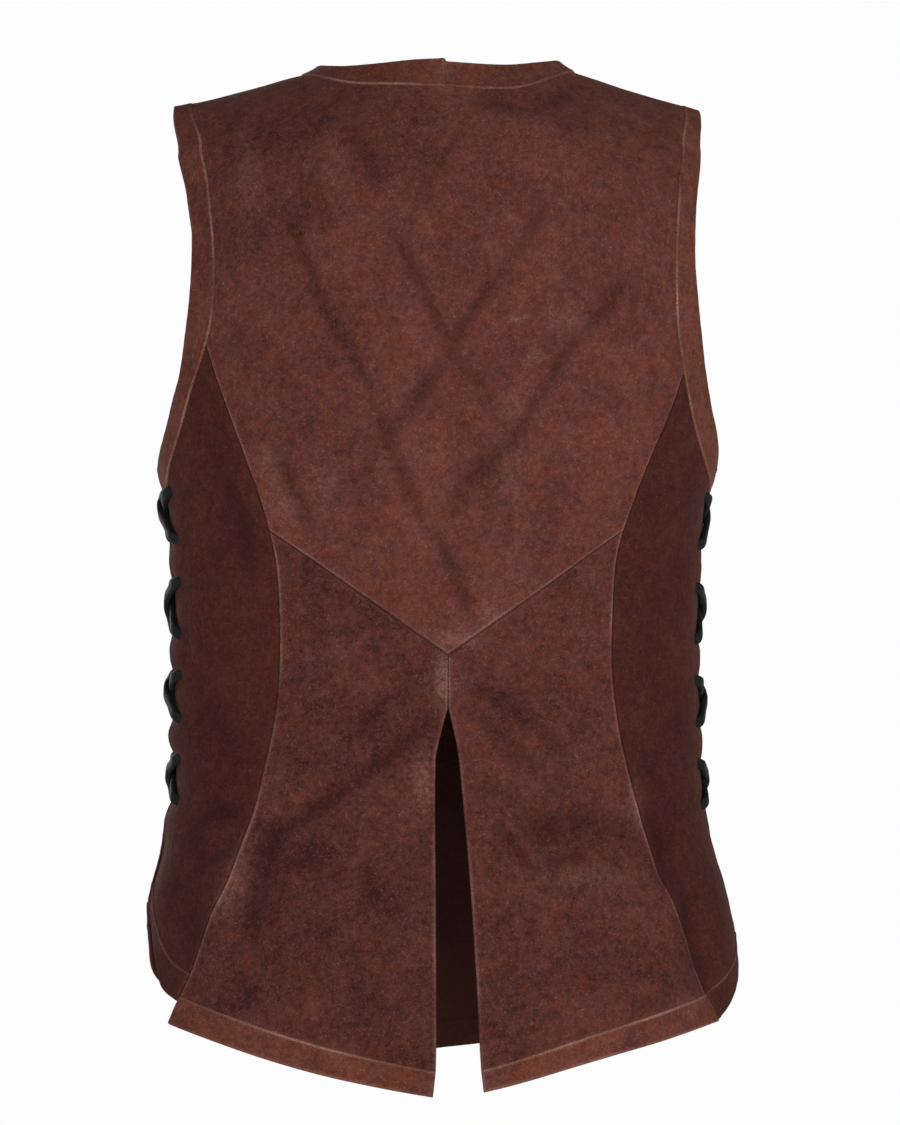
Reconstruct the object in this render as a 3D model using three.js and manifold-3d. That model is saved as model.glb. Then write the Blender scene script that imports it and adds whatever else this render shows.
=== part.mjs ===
// A sleeveless suede bodice with laced sides, filled out as if worn. Millimetres.
// +Z is up, -Y is the wearer's front and +X the wearer's left. The origin lies midway
// between the neck ends of the two shoulder seams, where the shoulders carry it.
//
// Every piece is a wall on one body form. A place on the form is a chart point
// [turn, z]: turn is the angle from the centre back towards the wearer's left.
import * as THREE from "three";
import { mergeVertices } from "three/addons/utils/BufferGeometryUtils.js";
import Module from "manifold-3d";

const wasm = await Module();
wasm.setup();

// ---- Driving dimensions ----
const panelThickness = 1.8;
const bandThickness = 2.8;
const bandLift = 0.6; // a folded band stands proud of the panel beside it
const seamGap = 0.36;

const neckHalfWidth = 87; // centre line to where the shoulder seam meets the neck band
const neckEdgeHalf = 76; // the same, to the neck band's free edge
const shoulderSeamEnd = 157; // where the shoulder seam meets the armhole band
const shoulderEdge = 168.5; // where the armhole band's free edge crosses the shoulder
const shoulderSlope = 0.25;
const crownHeight = 70; // how far below the shoulder line the body reaches full depth

const laceDiameter = 5.2;
const laceHoleRadius = 3.5;
const laceHoleFromSide = 29; // hole centre to the side line, fore and aft
const laceInside = 6.1; // lace centre below the outer face, inside the garment
const laceOutside = 3.2; // lace centre above the outer face
const knotRadius = 4.2;
const knotInside = 7.6; // knot centre below the outer face

// Each row is one crossing of the lace: the heights of its upper and lower holes, and how
// far its middle stands out from the side line.
const crossings = [
  { upper: -266, lower: -296, bulge: 4.6 },
  { upper: -323, lower: -356, bulge: 3.2 },
  { upper: -382, lower: -409, bulge: 3.2 },
  { upper: -435, lower: -461, bulge: 2.6 },
];
const rightDrop = 4; // the right side is laced a little lower

// The body form: half width at the side line, and depth behind and in front of it.
const levels = [
  { z: -650, half: 195, back: 124, front: 119 },
  { z: -600, half: 193, back: 120, front: 117 },
  { z: -550, half: 190, back: 114, front: 112 },
  { z: -520, half: 184, back: 110, front: 109 },
  { z: -490, half: 175.5, back: 105, front: 105 },
  { z: -460, half: 172.5, back: 101, front: 101 },
  { z: -420, half: 170, back: 96, front: 98 },
  { z: -370, half: 169, back: 94, front: 98 },
  { z: -320, half: 169.5, back: 97, front: 105 },
  { z: -285, half: 172, back: 102, front: 114 },
  { z: -250, half: 179, back: 106, front: 121 },
  { z: -210, half: 177, back: 110, front: 124 },
  { z: -160, half: 176, back: 112, front: 119 },
  { z: -110, half: 175, back: 109, front: 107 },
  { z: -70, half: 175, back: 99, front: 90 },
  { z: -40, half: 175, back: 87, front: 73 },
  { z: -10, half: 175, back: 70, front: 53 },
  { z: 20, half: 175, back: 54, front: 36 },
];
const squareness = 2.3; // 2 is an ellipse, more is squarer

// The seam between the centre back and the side back: its distance from the centre.
const princessSeam = [
  { z: -606, x: 176.5 },
  { z: -585, x: 168.3 },
  { z: -560, x: 159.3 },
  { z: -534, x: 148.3 },
  { z: -509, x: 135.2 },
  { z: -484, x: 126.8 },
  { z: -459, x: 118.8 },
  { z: -434, x: 112.9 },
  { z: -409, x: 107.9 },
  { z: -384, x: 104.8 },
  { z: -360, x: 104.2 },
  { z: -334, x: 104.8 },
  { z: -309, x: 107 },
  { z: -291, x: 110.8 },
  { z: -270, x: 117 },
  { z: -241, x: 127 },
  { z: -205, x: 140 },
  { z: -172, x: 149.5 },
];

// The armhole as seen from the side, before the shoulder narrows it: how far each
// line lies from the side line, on the back and on the front. The back seam differs a
// little from side to side.
const armhole = [
  { z: -268, seamLeft: 13, seamRight: 13, frontSeam: 13 },
  { z: -262, seamLeft: 26, seamRight: 28, frontSeam: 26 },
  { z: -251, seamLeft: 36, seamRight: 43, frontSeam: 38, backEdge: 9, frontEdge: 9 },
  { z: -234, seamLeft: 45.5, seamRight: 55, frontSeam: 50, backEdge: 27, frontEdge: 29 },
  { z: -205, seamLeft: 56, seamRight: 64, frontSeam: 65, backEdge: 41, frontEdge: 45 },
  { z: -172, seamLeft: 68, seamRight: 70.5, frontSeam: 76, backEdge: 50.5, frontEdge: 58 },
  { z: -140, seamLeft: 71.5, seamRight: 71.5, frontSeam: 78, backEdge: 54.5, frontEdge: 61 },
  { z: -105, seamLeft: 68, seamRight: 68, frontSeam: 72, backEdge: 53.5, frontEdge: 56 },
  { z: -75, seamLeft: 61, seamRight: 61, frontSeam: 60, backEdge: 45.5, frontEdge: 45 },
  { z: -50, seamLeft: 52.5, seamRight: 52.5, frontSeam: 46, backEdge: 36.5, frontEdge: 32 },
];

// The back neckline by distance from the centre: free edge and seam of each half band.
const backNeck = [
  { x: 0, edgeLeft: 6, edgeRight: 4, seamLeft: -12.8, seamRight: -12.8 },
  { x: 20, edgeLeft: 5, edgeRight: 2.7, seamLeft: -12.3, seamRight: -14.4 },
  { x: 45, edgeLeft: 3, edgeRight: 2.2, seamLeft: -11.5, seamRight: -14 },
  { x: 62, edgeLeft: 3, edgeRight: 3.5, seamLeft: -9, seamRight: -10.8 },
];
const frontNeckDrop = 132; // shoulder line down to the band's edge at the centre front
const neckBandWidth = 15;
const frontNeckFullness = 0.72; // 1 is an ellipse, less is a fuller scoop

// The hems: free edge height by distance from the centre, and the bands above them.
const backHem = [
  { x: 0, left: -642.2, right: -641.6 },
  { x: 34, left: -636.4, right: -634.4 },
  { x: 75, left: -628.3, right: -623.9 },
  { x: 120, left: -616.4, right: -612.4 },
  { x: 175, left: -599.4, right: -599.9 },
];
const hemBandWidth = 17.5;
// The side back hem, from the laced edge to the princess seam, seen from the side.
const sideHem = [
  { share: 0, fromSideLeft: 13, left: -531, fromSideRight: 12, right: -564 },
  { share: 0.35, fromSideLeft: 28, left: -554, fromSideRight: 27, right: -577 },
  { share: 0.7, fromSideLeft: 47, left: -576, fromSideRight: 48, right: -590 },
  { share: 1, fromSideLeft: 65, left: -585, fromSideRight: 64, right: -599 },
];
// The front hem from the laced edge (share 0) to the centre front (share 1).
const frontHem = [
  { share: 0, turn: 96, z: -545 },
  { share: 0.12, turn: 102, z: -571 },
  { share: 0.27, turn: 114, z: -592 },
  { share: 0.5, turn: 132, z: -611 },
  { share: 0.75, turn: 155, z: -627 },
  { share: 1, turn: 180, z: -634 },
];

// The chevron between the yoke and the two skirts, and the vent below it.
const chevronPoint = -368.5;
const chevronCorner = -291;
const ventTop = -401;
const vent = [
  { z: -401, left: 0, right: 0 },
  { z: -421, left: 5.5, right: 4.5 },
  { z: -434, left: 8, right: 6.5 },
  { z: -500, left: 8.6, right: 12 },
  { z: -580, left: 9, right: 16.5 },
  { z: -625, left: 9.6, right: 18.5 },
  { z: -645, left: 12, right: 20.5 },
];

// The laced edge of a side, as its distance from the side line.
const lacedEdge = [
  { z: -570, y: 12.5 },
  { z: -500, y: 14.5 },
  { z: -465, y: 13 },
  { z: -380, y: 13 },
  { z: -300, y: 13 },
  { z: -268, y: 13 },
  { z: -250, y: 8.5 },
];

// The largest folds: soft troughs (depth below zero) and ridges, each from one place to
// another on the back or the front, x across and z up.
const folds = [
  { face: "back", x1: 6, z1: -403, x2: 64, z2: -450, width: 12, depth: -2.2 },
  { face: "back", x1: 62, z1: -448, x2: 110, z2: -478, width: 11, depth: -2.6 },
  { face: "back", x1: 109, z1: -470, x2: 123, z2: -548, width: 9, depth: -4.2 },
  { face: "back", x1: 128, z1: -478, x2: 148, z2: -566, width: 11, depth: 3.4 },
  { face: "back", x1: 59, z1: -540, x2: 58, z2: -640, width: 14, depth: -2.6 },
  { face: "back", x1: 28, z1: -560, x2: 30, z2: -650, width: 18, depth: 2.4 },
  { face: "back", x1: 160, z1: -500, x2: 172, z2: -575, width: 12, depth: -3 },
  { face: "back", x1: -14, z1: -390, x2: -70, z2: -428, width: 10, depth: -1.8 },
  { face: "back", x1: -36, z1: -472, x2: -118, z2: -477, width: 11, depth: -2.4 },
  { face: "back", x1: -70, z1: -509, x2: -112, z2: -508, width: 12, depth: 2 },
  { face: "back", x1: -64, z1: -540, x2: -84, z2: -640, width: 22, depth: -3 },
  { face: "back", x1: -112, z1: -520, x2: -128, z2: -625, width: 18, depth: 2.8 },
  { face: "back", x1: -148, z1: -508, x2: -170, z2: -590, width: 9, depth: -4.2 },
  { face: "front", x1: 78, z1: -250, x2: 62, z2: -400, width: 26, depth: -3 },
  { face: "front", x1: -82, z1: -255, x2: -60, z2: -390, width: 26, depth: -3 },
  { face: "front", x1: 52, z1: -470, x2: 70, z2: -640, width: 26, depth: -3.6 },
  { face: "front", x1: -48, z1: -460, x2: -74, z2: -640, width: 26, depth: -3.4 },
  { face: "front", x1: 112, z1: -480, x2: 128, z2: -625, width: 22, depth: 3.2 },
  { face: "front", x1: -108, z1: -470, x2: -130, z2: -625, width: 22, depth: 3 },
];

// How many cells each seam is divided into. Two pieces that share a seam share these.
const cells = {
  shoulder: 4,
  backNeck: 12,
  frontNeck: 14,
  armholeUpper: 11,
  armholeLower: 6,
  princessUpper: 7,
  princessLower: 15,
  frontLacedEdge: 14,
};

// ---- Tables and lines ----
const radians = THREE.MathUtils.degToRad;
const power = (value, exponent) => Math.abs(value) ** exponent;

// A smooth line through a table's rows: the value of one column at a place in another.
function smooth(rows, key, column, at) {
  const known = rows.filter((row) => row[column] !== undefined);
  known.sort((a, b) => a[key] - b[key]);
  const last = known.length - 1;
  const place = THREE.MathUtils.clamp(at, known[0][key], known[last][key]);
  let low = 0;
  while (low < last - 1 && known[low + 1][key] <= place) low++;
  const slope = (k) => {
    const before = known[Math.max(0, k - 1)];
    const after = known[Math.min(last, k + 1)];
    return (after[column] - before[column]) / (after[key] - before[key]);
  };
  const step = known[low + 1][key] - known[low][key];
  const t = (place - known[low][key]) / step;
  return (
    (2 * t ** 3 - 3 * t ** 2 + 1) * known[low][column] +
    (t ** 3 - 2 * t ** 2 + t) * step * slope(low) +
    (3 * t ** 2 - 2 * t ** 3) * known[low + 1][column] +
    (t ** 3 - t ** 2) * step * slope(low + 1)
  );
}

// count + 1 values of make(share), with share from 0 to 1.
const sampled = (count, make) =>
  Array.from({ length: count + 1 }, (_, i) => make(i / count));
const between = (from, to, share) => from + (to - from) * share;
// Lines that follow each other, with the shared end points kept once.
const joined = (...lines) =>
  lines.reduce((all, line) => all.concat(all.length ? line.slice(1) : line), []);
const reversed = (line) => [...line].reverse();
const mirrored = (line) => line.map(([turn, z]) => [-turn, z]);

// ---- The body form ----
function shoulderHeight(x) {
  const outwards = Math.abs(x) - neckHalfWidth;
  if (outwards > 0) return -shoulderSlope * outwards;
  const inwards = -outwards / neckHalfWidth;
  return 43 * inwards + 40 * inwards ** 2; // the side of the neck
}

function sectionAt(z) {
  return {
    half: smooth(levels, "z", "half", z),
    back: smooth(levels, "z", "back", z),
    front: smooth(levels, "z", "front", z),
  };
}

// The share of the full depth that the body has at a distance below the shoulder line.
function crown(below) {
  const rise = 1 - THREE.MathUtils.clamp(below / crownHeight, 0, 1);
  return Math.sqrt(1 - rise ** 2);
}

function onForm([turn, z]) {
  const section = sectionAt(z);
  const across = Math.sin(turn);
  const along = Math.cos(turn);
  const depth = along >= 0 ? section.back : section.front;
  const sum =
    power(across / section.half, squareness) + power(along / depth, squareness);
  const radius = sum ** (-1 / squareness);
  const below = shoulderHeight(radius * across) - z;
  return new THREE.Vector3(radius * across, radius * along * crown(below), z);
}

// Below zero inside the form, above zero outside.
function outsideness(x, y, z) {
  const section = sectionAt(z);
  const depth = y >= 0 ? section.back : section.front;
  const width = power(x / section.half, squareness);
  const below = shoulderHeight(x) - z;
  if (below >= crownHeight) return width + power(y / depth, squareness) - 1;
  const reach = depth * Math.max(1e-3, 1 - width) ** (1 / squareness);
  return (y / reach) ** 2 + (1 - below / crownHeight) ** 2 - 1;
}

function outwards({ x, y, z }) {
  const e = 0.01;
  return new THREE.Vector3(
    outsideness(x + e, y, z) - outsideness(x - e, y, z),
    outsideness(x, y + e, z) - outsideness(x, y - e, z),
    outsideness(x, y, z + e) - outsideness(x, y, z - e),
  ).normalize();
}

// Chart points at a distance from the centre line, on one face.
function atWidth(x, z, face = "back") {
  const section = sectionAt(z);
  const share = Math.max(0, 1 - power(x / section.half, squareness));
  const depth = section[face] * share ** (1 / squareness);
  return [Math.atan2(x, face === "back" ? depth : -depth), z];
}

// Chart points on the wearer's left at a distance from the side line, on one face.
function atSide(y, z, face = "back") {
  const section = sectionAt(z);
  const share = Math.max(0, 1 - power(y / section[face], squareness));
  const half = section.half * share ** (1 / squareness);
  return [Math.atan2(half, face === "back" ? y : -y), z];
}

// How far the folds move a place, along the form's outward direction.
function foldHeight({ x, y, z }) {
  const face = y >= 0 ? "back" : "front";
  let height = 0;
  for (const fold of folds) {
    if (fold.face !== face) continue;
    const runX = fold.x2 - fold.x1;
    const runZ = fold.z2 - fold.z1;
    const length = Math.hypot(runX, runZ);
    const along = ((x - fold.x1) * runX + (z - fold.z1) * runZ) / length;
    const aside = ((x - fold.x1) * runZ - (z - fold.z1) * runX) / length;
    const middle = (2 * along) / length - 1;
    const ends = Math.exp(-((Math.abs(middle) / 0.95) ** 4));
    height += fold.depth * ends * Math.exp(-((aside / fold.width) ** 2));
  }
  return height;
}

// ---- Walls ----
// A grid of chart points between four lines. bottom and top run the same way, and so do
// left and right, which go from bottom to top.
function patch({ bottom, top, left, right }) {
  const across = bottom.length - 1;
  const up = left.length - 1;
  if (top.length - 1 !== across || right.length - 1 !== up)
    throw new Error("a patch's opposite sides need the same number of cells");
  const blend = (s, t, i, j, k) =>
    between(bottom[i][k], top[i][k], t) +
    between(left[j][k], right[j][k], s) -
    between(
      between(bottom[0][k], bottom[across][k], s),
      between(top[0][k], top[across][k], s),
      t,
    );
  return left.map((_, j) =>
    bottom.map((_, i) => [0, 1].map((k) => blend(i / across, j / up, i, j, k))),
  );
}

// A grid of chart points with the given number of cells between two lines.
const strip = (from, to, rows = 1) =>
  sampled(rows, (share) =>
    from.map((point, i) => point.map((v, k) => between(v, to[i][k], share))),
  );

// The wall's outer points and outward directions, drawn back from each seam.
function outerFace(grid, lift) {
  const points = grid.map((row) => row.map(onForm));
  const normals = points.map((row) => row.map(outwards));
  points.forEach((row, j) =>
    row.forEach((point, i) =>
      point.addScaledVector(normals[j][i], lift + foldHeight(point)),
    ),
  );
  const rows = points.length - 1;
  const columns = points[0].length - 1;
  const drawn = points.map((row) => row.map((point) => point.clone()));
  const draw = (point, inner, before, after, target) => {
    const seam = after.clone().sub(before).normalize();
    const away = inner.clone().sub(point);
    away.addScaledVector(seam, -away.dot(seam)).normalize();
    target.addScaledVector(away, seamGap / 2);
  };
  for (let i = 0; i <= columns; i++)
    for (const [j, inner] of [[0, 1], [rows, rows - 1]]) {
      const row = points[j];
      const [before, after] = [row[Math.max(0, i - 1)], row[Math.min(columns, i + 1)]];
      draw(row[i], points[inner][i], before, after, drawn[j][i]);
    }
  for (let j = 0; j <= rows; j++)
    for (const [i, inner] of [[0, 1], [columns, columns - 1]]) {
      const [before, after] = [points[Math.max(0, j - 1)][i], points[Math.min(rows, j + 1)][i]];
      draw(points[j][i], points[j][inner], before, after, drawn[j][i]);
    }
  return { points: drawn, normals };
}

function wallGeometry(grid, thickness, lift = 0) {
  const { points, normals } = outerFace(grid, lift);
  const rows = points.length;
  const columns = points[0].length;
  const outer = points.flat();
  const inner = outer.map((point, k) =>
    point.clone().addScaledVector(normals.flat()[k], -thickness),
  );
  const position = [...outer, ...inner].flatMap((point) => point.toArray());
  const at = (j, i) => j * columns + i;
  const index = [];
  const quad = (a, b, c, d) => index.push(a, b, c, a, c, d);
  const offset = rows * columns;
  for (let j = 0; j < rows - 1; j++)
    for (let i = 0; i < columns - 1; i++) {
      const corners = [at(j, i), at(j, i + 1), at(j + 1, i + 1), at(j + 1, i)];
      quad(...corners);
      quad(...reversed(corners).map((corner) => corner + offset));
    }
  const edge = (from, to) => quad(to, from, from + offset, to + offset);
  for (let i = 0; i < columns - 1; i++) {
    edge(at(0, i), at(0, i + 1));
    edge(at(rows - 1, i + 1), at(rows - 1, i));
  }
  for (let j = 0; j < rows - 1; j++) {
    edge(at(j + 1, 0), at(j, 0));
    edge(at(j, columns - 1), at(j + 1, columns - 1));
  }
  const along = outer[1].clone().sub(outer[0]);
  const turned = along.cross(outer[columns].clone().sub(outer[0]));
  if (turned.dot(normals[0][0]) < 0)
    for (let k = 0; k < index.length; k += 3)
      [index[k + 1], index[k + 2]] = [index[k + 2], index[k + 1]];
  return new THREE.BufferGeometry()
    .setAttribute("position", new THREE.Float32BufferAttribute(position, 3))
    .setIndex(index);
}

// ---- Solids for cutting and joining ----
function solidOf(geometry) {
  const bare = geometry.clone();
  bare.deleteAttribute("normal");
  bare.deleteAttribute("uv");
  const merged = mergeVertices(bare, 1e-3);
  const mesh = new wasm.Mesh({
    numProp: 3,
    vertProperties: merged.attributes.position.array,
    triVerts: new Uint32Array(merged.index.array),
  });
  return new wasm.Manifold(mesh);
}

function geometryOf(solid) {
  const mesh = solid.getMesh();
  return new THREE.BufferGeometry()
    .setAttribute("position", new THREE.BufferAttribute(mesh.vertProperties, 3))
    .setIndex(new THREE.BufferAttribute(mesh.triVerts, 1));
}

// ---- Seam lines, each drawn on the wearer's left; the right side turns its own over ----
const armholePlace = (column, face) => (z) =>
  atSide(smooth(armhole, "z", column, z), z, face);
const princessPlace = (z) => atWidth(smooth(princessSeam, "z", "x", z), z);
const lacedPlace = (face) => (z) => atSide(smooth(lacedEdge, "z", "y", z), z, face);
const shoulderPlace = (x, face) => atWidth(x, shoulderHeight(x), face);

// Where the princess seam of each side meets its armhole band.
const princessTop = { left: -175, right: -191 };
const underarmSeam = -268;
const underarmEdge = -251;
const crowding = 1.7; // rows crowd towards the shoulder line, where the wall turns over

// The armhole's lines, from the underarm to the shoulder line.
function armholeLine(part, face, side) {
  const backSeam = side === "left" ? "seamLeft" : "seamRight";
  const column = face + part === "backSeam" ? backSeam : face + part;
  const place = armholePlace(column, face);
  const lowest = part === "Seam" ? underarmSeam : underarmEdge;
  const reach = part === "Seam" ? shoulderSeamEnd : shoulderEdge;
  const end = shoulderPlace(reach, face);
  const lower = sampled(cells.armholeLower, (share) =>
    place(between(lowest, princessTop[side], share ** 0.85)),
  );
  const upper = sampled(cells.armholeUpper, (share) => {
    const z = between(end[1], princessTop[side], (1 - share) ** crowding);
    const known = place(Math.min(z, -50));
    const near = THREE.MathUtils.smoothstep(z, -50, end[1]);
    return z < -50 ? place(z) : [between(known[0], end[0], near), z];
  });
  return { lower, upper: [...upper.slice(0, -1), end] };
}

// The princess seam, from the hem band up to the chevron's corner and on to the armhole.
const princessFoot = -580.5;
function seamLines(side) {
  const backArmholeSeam = armholeLine("Seam", "back", side);
  const meeting = backArmholeSeam.upper[0];
  backArmholeSeam.lower[cells.armholeLower] = meeting;
  const princessUpper = sampled(cells.princessUpper, (share) =>
    princessPlace(between(chevronCorner, princessTop[side], share)),
  );
  princessUpper[cells.princessUpper] = meeting;
  return {
    backArmholeSeam,
    backArmholeEdge: armholeLine("Edge", "back", side),
    frontArmholeSeam: armholeLine("Seam", "front", side),
    frontArmholeEdge: armholeLine("Edge", "front", side),
    princessLower: sampled(cells.princessLower, (share) =>
      princessPlace(between(princessFoot, chevronCorner, share)),
    ),
    princessUpper,
  };
}
const lines = { left: seamLines("left"), right: seamLines("right") };

// The shoulder seam, from the armhole band to the neck band.
const shoulderLine = (face) =>
  sampled(cells.shoulder, (share) =>
    shoulderPlace(between(shoulderSeamEnd, neckHalfWidth, share), face),
  );

// The back neckline, from the wearer's left shoulder to the right.
function backNeckLine(column, reach) {
  const end = shoulderHeight(reach);
  const sideOf = (x) => column + (x >= 0 ? "Left" : "Right");
  return sampled(cells.backNeck, (share) => {
    const x = reach * Math.cos(Math.PI * share);
    const rows = [...backNeck, { x: reach, [sideOf(x)]: end }];
    return atWidth(x, smooth(rows, "x", sideOf(x), Math.abs(x)));
  });
}

// The front neckline, a scoop from the wearer's left shoulder to the right.
function frontNeckLine(reach, drop) {
  const top = shoulderHeight(reach);
  return sampled(cells.frontNeck, (share) => {
    const angle = Math.PI * share;
    const x = reach * Math.sign(Math.cos(angle)) * power(Math.cos(angle), frontNeckFullness);
    const z = between(top, -drop, power(Math.sin(angle), 1.15));
    return atWidth(x, z, "front");
  });
}

// The back hem of one side, from the princess seam to the vent.
function backHemLine(side, raised) {
  const count = cells.shoulder + cells.backNeck / 2;
  return sampled(count, (share) => {
    const foot = smooth(backHem, "x", side, 175) + raised;
    if (share === 0) return princessPlace(foot);
    const outer = onForm(princessPlace(foot)).x;
    const inner = smooth(vent, "z", side, -640 + raised);
    const x = between(outer, inner, share);
    return atWidth(x, smooth(backHem, "x", side, x) + raised);
  });
}

// The vent and the seam above it, from the hem to the chevron's point.
function centreLine(side) {
  const foot = smooth(backHem, "x", side, 0) + hemBandWidth;
  return sampled(cells.princessLower, (share) => {
    const z = between(foot, chevronPoint, share);
    return atWidth(z < ventTop ? smooth(vent, "z", side, z) : 0, z);
  });
}

// The side back hem of one side, from the princess seam to the laced edge.
function sideHemLine(side, raised) {
  const fromSide = side === "left" ? "fromSideLeft" : "fromSideRight";
  return sampled(cells.armholeLower, (share) => {
    const y = smooth(sideHem, "share", fromSide, 1 - share);
    const z = smooth(sideHem, "share", side, 1 - share) + raised;
    return share === 0 ? princessPlace(z) : atSide(y, z);
  });
}

// The front hem, from the wearer's left laced edge to the right one.
function frontHemLine(raised) {
  const count = 2 * cells.shoulder + cells.frontNeck;
  return sampled(count, (across) => {
    const share = 1 - Math.abs(2 * across - 1);
    const turn = radians(smooth(frontHem, "share", "turn", share));
    const z = smooth(frontHem, "share", "z", share) + raised;
    if (share === 0) return mirrorIf(across > 0.5, lacedPlace("front")(z));
    return mirrorIf(across > 0.5, [turn, z]);
  });
}
const mirrorIf = (wanted, [turn, z]) => [wanted ? -turn : turn, z];

// ---- Pieces ----
const skirtCells = cells.shoulder + cells.backNeck / 2;

function chevronLine() {
  return sampled(skirtCells, (share) => {
    const z = between(chevronCorner, chevronPoint, share);
    const corner = onForm(princessPlace(chevronCorner)).x;
    return share === 0 ? princessPlace(chevronCorner) : atWidth(corner * (1 - share), z);
  });
}

function yokeGrid() {
  const sideOf = (own) => joined(own.princessUpper, own.backArmholeSeam.upper);
  const chevron = chevronLine();
  const shoulder = shoulderLine("back");
  const neck = backNeckLine("seam", neckHalfWidth);
  return patch({
    bottom: joined(chevron, reversed(mirrored(chevron))),
    top: joined(shoulder, neck, reversed(mirrored(shoulder))),
    left: sideOf(lines.left),
    right: mirrored(sideOf(lines.right)),
  });
}

// The skirts' outer side ends on the hem band, so its foot moves to the hem line's end.
function skirtGrid(side) {
  const bottom = backHemLine(side, hemBandWidth);
  const inner = centreLine(side);
  const outer = lines[side].princessLower.map((point) => [...point]);
  outer[0] = bottom[0];
  bottom[bottom.length - 1] = inner[0];
  return patch({ bottom, top: chevronLine(), left: outer, right: inner });
}

function sideBackGrid(side) {
  const bottom = sideHemLine(side, hemBandWidth);
  const { princessLower, princessUpper, backArmholeSeam } = lines[side];
  const inner = joined(princessLower, princessUpper);
  inner[0] = bottom[0];
  const foot = bottom[bottom.length - 1][1];
  const laced = sampled(inner.length - 1, (share) =>
    lacedPlace("back")(between(foot, underarmSeam, share)),
  );
  bottom[bottom.length - 1] = laced[0];
  const top = reversed(backArmholeSeam.lower);
  top[top.length - 1] = laced[laced.length - 1];
  return patch({ bottom, top, left: inner, right: laced });
}

function frontGrid() {
  const bottom = frontHemLine(hemBandWidth);
  const foot = bottom[0][1];
  const laced = sampled(cells.frontLacedEdge, (share) =>
    lacedPlace("front")(between(foot, underarmSeam, share)),
  );
  const sideOf = ({ frontArmholeSeam: seam }) => joined(laced, seam.lower, seam.upper);
  const shoulder = shoulderLine("front");
  const neck = frontNeckLine(neckHalfWidth, frontNeckDrop + neckBandWidth);
  return patch({
    bottom,
    top: joined(shoulder, neck, reversed(mirrored(shoulder))),
    left: sideOf(lines.left),
    right: mirrored(sideOf(lines.right)),
  });
}

// An armhole band: one strip from the back underarm over the shoulder to the front.
function armholeBandGrid(side) {
  const round = (part) => {
    const back = lines[side]["backArmhole" + part];
    const before = lines[side]["frontArmhole" + part];
    return joined(back.lower, back.upper, reversed(before.upper), reversed(before.lower));
  };
  return strip(round("Seam"), round("Edge"));
}

// Half of the neck band, from the centre back over the shoulder to the centre front.
function neckBandGrid(side) {
  const half = (points) => {
    const own = side === "left" ? points : mirrored(reversed(points));
    return own.slice(0, (points.length + 1) / 2);
  };
  const round = (back, front) => joined(reversed(half(back)), half(front));
  const seam = round(
    backNeckLine("seam", neckHalfWidth),
    frontNeckLine(neckHalfWidth, frontNeckDrop + neckBandWidth),
  );
  const edge = round(
    backNeckLine("edge", neckEdgeHalf),
    frontNeckLine(neckEdgeHalf, frontNeckDrop),
  );
  return strip(seam, edge);
}

// A hem band's outer end follows the princess seam.
const endOnPrincess = (grid) =>
  grid.map((row) => [princessPlace(row[0][1]), ...row.slice(1)]);

function backHemBandGrid(side) {
  const seam = backHemLine(side, hemBandWidth);
  const edge = backHemLine(side, 0);
  seam[seam.length - 1] = centreLine(side)[0];
  return endOnPrincess(strip(seam, edge, 2));
}

const sideHemBandGrid = (side) =>
  endOnPrincess(strip(sideHemLine(side, hemBandWidth), sideHemLine(side, 0), 2));
const frontHemBandGrid = () => strip(frontHemLine(hemBandWidth), frontHemLine(0), 2);

// ---- Lacing ----
function crossingsOf(side) {
  const drop = side === "right" ? rightDrop : 0;
  return crossings.map(({ upper, lower, bulge }) => ({
    upper: upper - drop,
    lower: lower - drop,
    bulge,
  }));
}

// A place near one side line: face says behind or before it, lift how far above the
// panel's outer face, below zero being inside the garment.
function beside(side, face, y, z, lift) {
  const chart = atSide(Math.abs(y), z, face);
  const point = onForm(side === "left" ? chart : mirrored([chart])[0]);
  return point.addScaledVector(outwards(point), lift + foldHeight(point));
}

function punched(solid, face, side) {
  const sides = 8;
  const length = 12;
  let result = solid;
  for (const z of crossingsOf(side).flatMap(({ upper, lower }) => [upper, lower])) {
    const centre = beside(side, face, laceHoleFromSide, z, 0);
    const normal = outwards(centre);
    const drill = new THREE.CylinderGeometry(laceHoleRadius, laceHoleRadius, length, sides);
    drill.applyQuaternion(
      new THREE.Quaternion().setFromUnitVectors(THREE.Object3D.DEFAULT_UP, normal),
    );
    drill.translate(centre.x, centre.y, centre.z);
    result = result.subtract(solidOf(drill));
  }
  return result;
}

// One end of a crossing, given as [from the side line, along z, lift]: the lace comes up
// through a hole and bends towards the edge. run says where the inside run comes from.
const throughHole = (run) => [
  [laceHoleFromSide + 1, 5 * run, -laceInside],
  [laceHoleFromSide, 1.4 * run, 0.6 - laceInside],
  [laceHoleFromSide, 0, -2.6],
  [laceHoleFromSide, 0, 0.4],
  [laceHoleFromSide - 1.2, 0, laceOutside - 0.5],
  [laceHoleFromSide - 5, 0, laceOutside],
];

// A crossing from one hole to the one opposite, over or under the other at its middle.
function crossing(side, from, to, bulge, over) {
  const endOf = ({ face, z, run }) =>
    throughHole(run).map(([y, up, lift]) => beside(side, face, y, z + up, lift));
  const middle = (from.z + to.z) / 2;
  const bend = ({ face, z }) =>
    beside(side, face, 11.5, between(z, middle, 0.4), laceOutside + (over ? 0.6 : 0.2));
  return [
    ...endOf(from),
    bend(from),
    beside(side, "back", 0.01, middle, over ? bulge : bulge - laceDiameter - 0.4),
    bend(to),
    ...reversed(endOf(to)),
  ];
}

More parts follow.
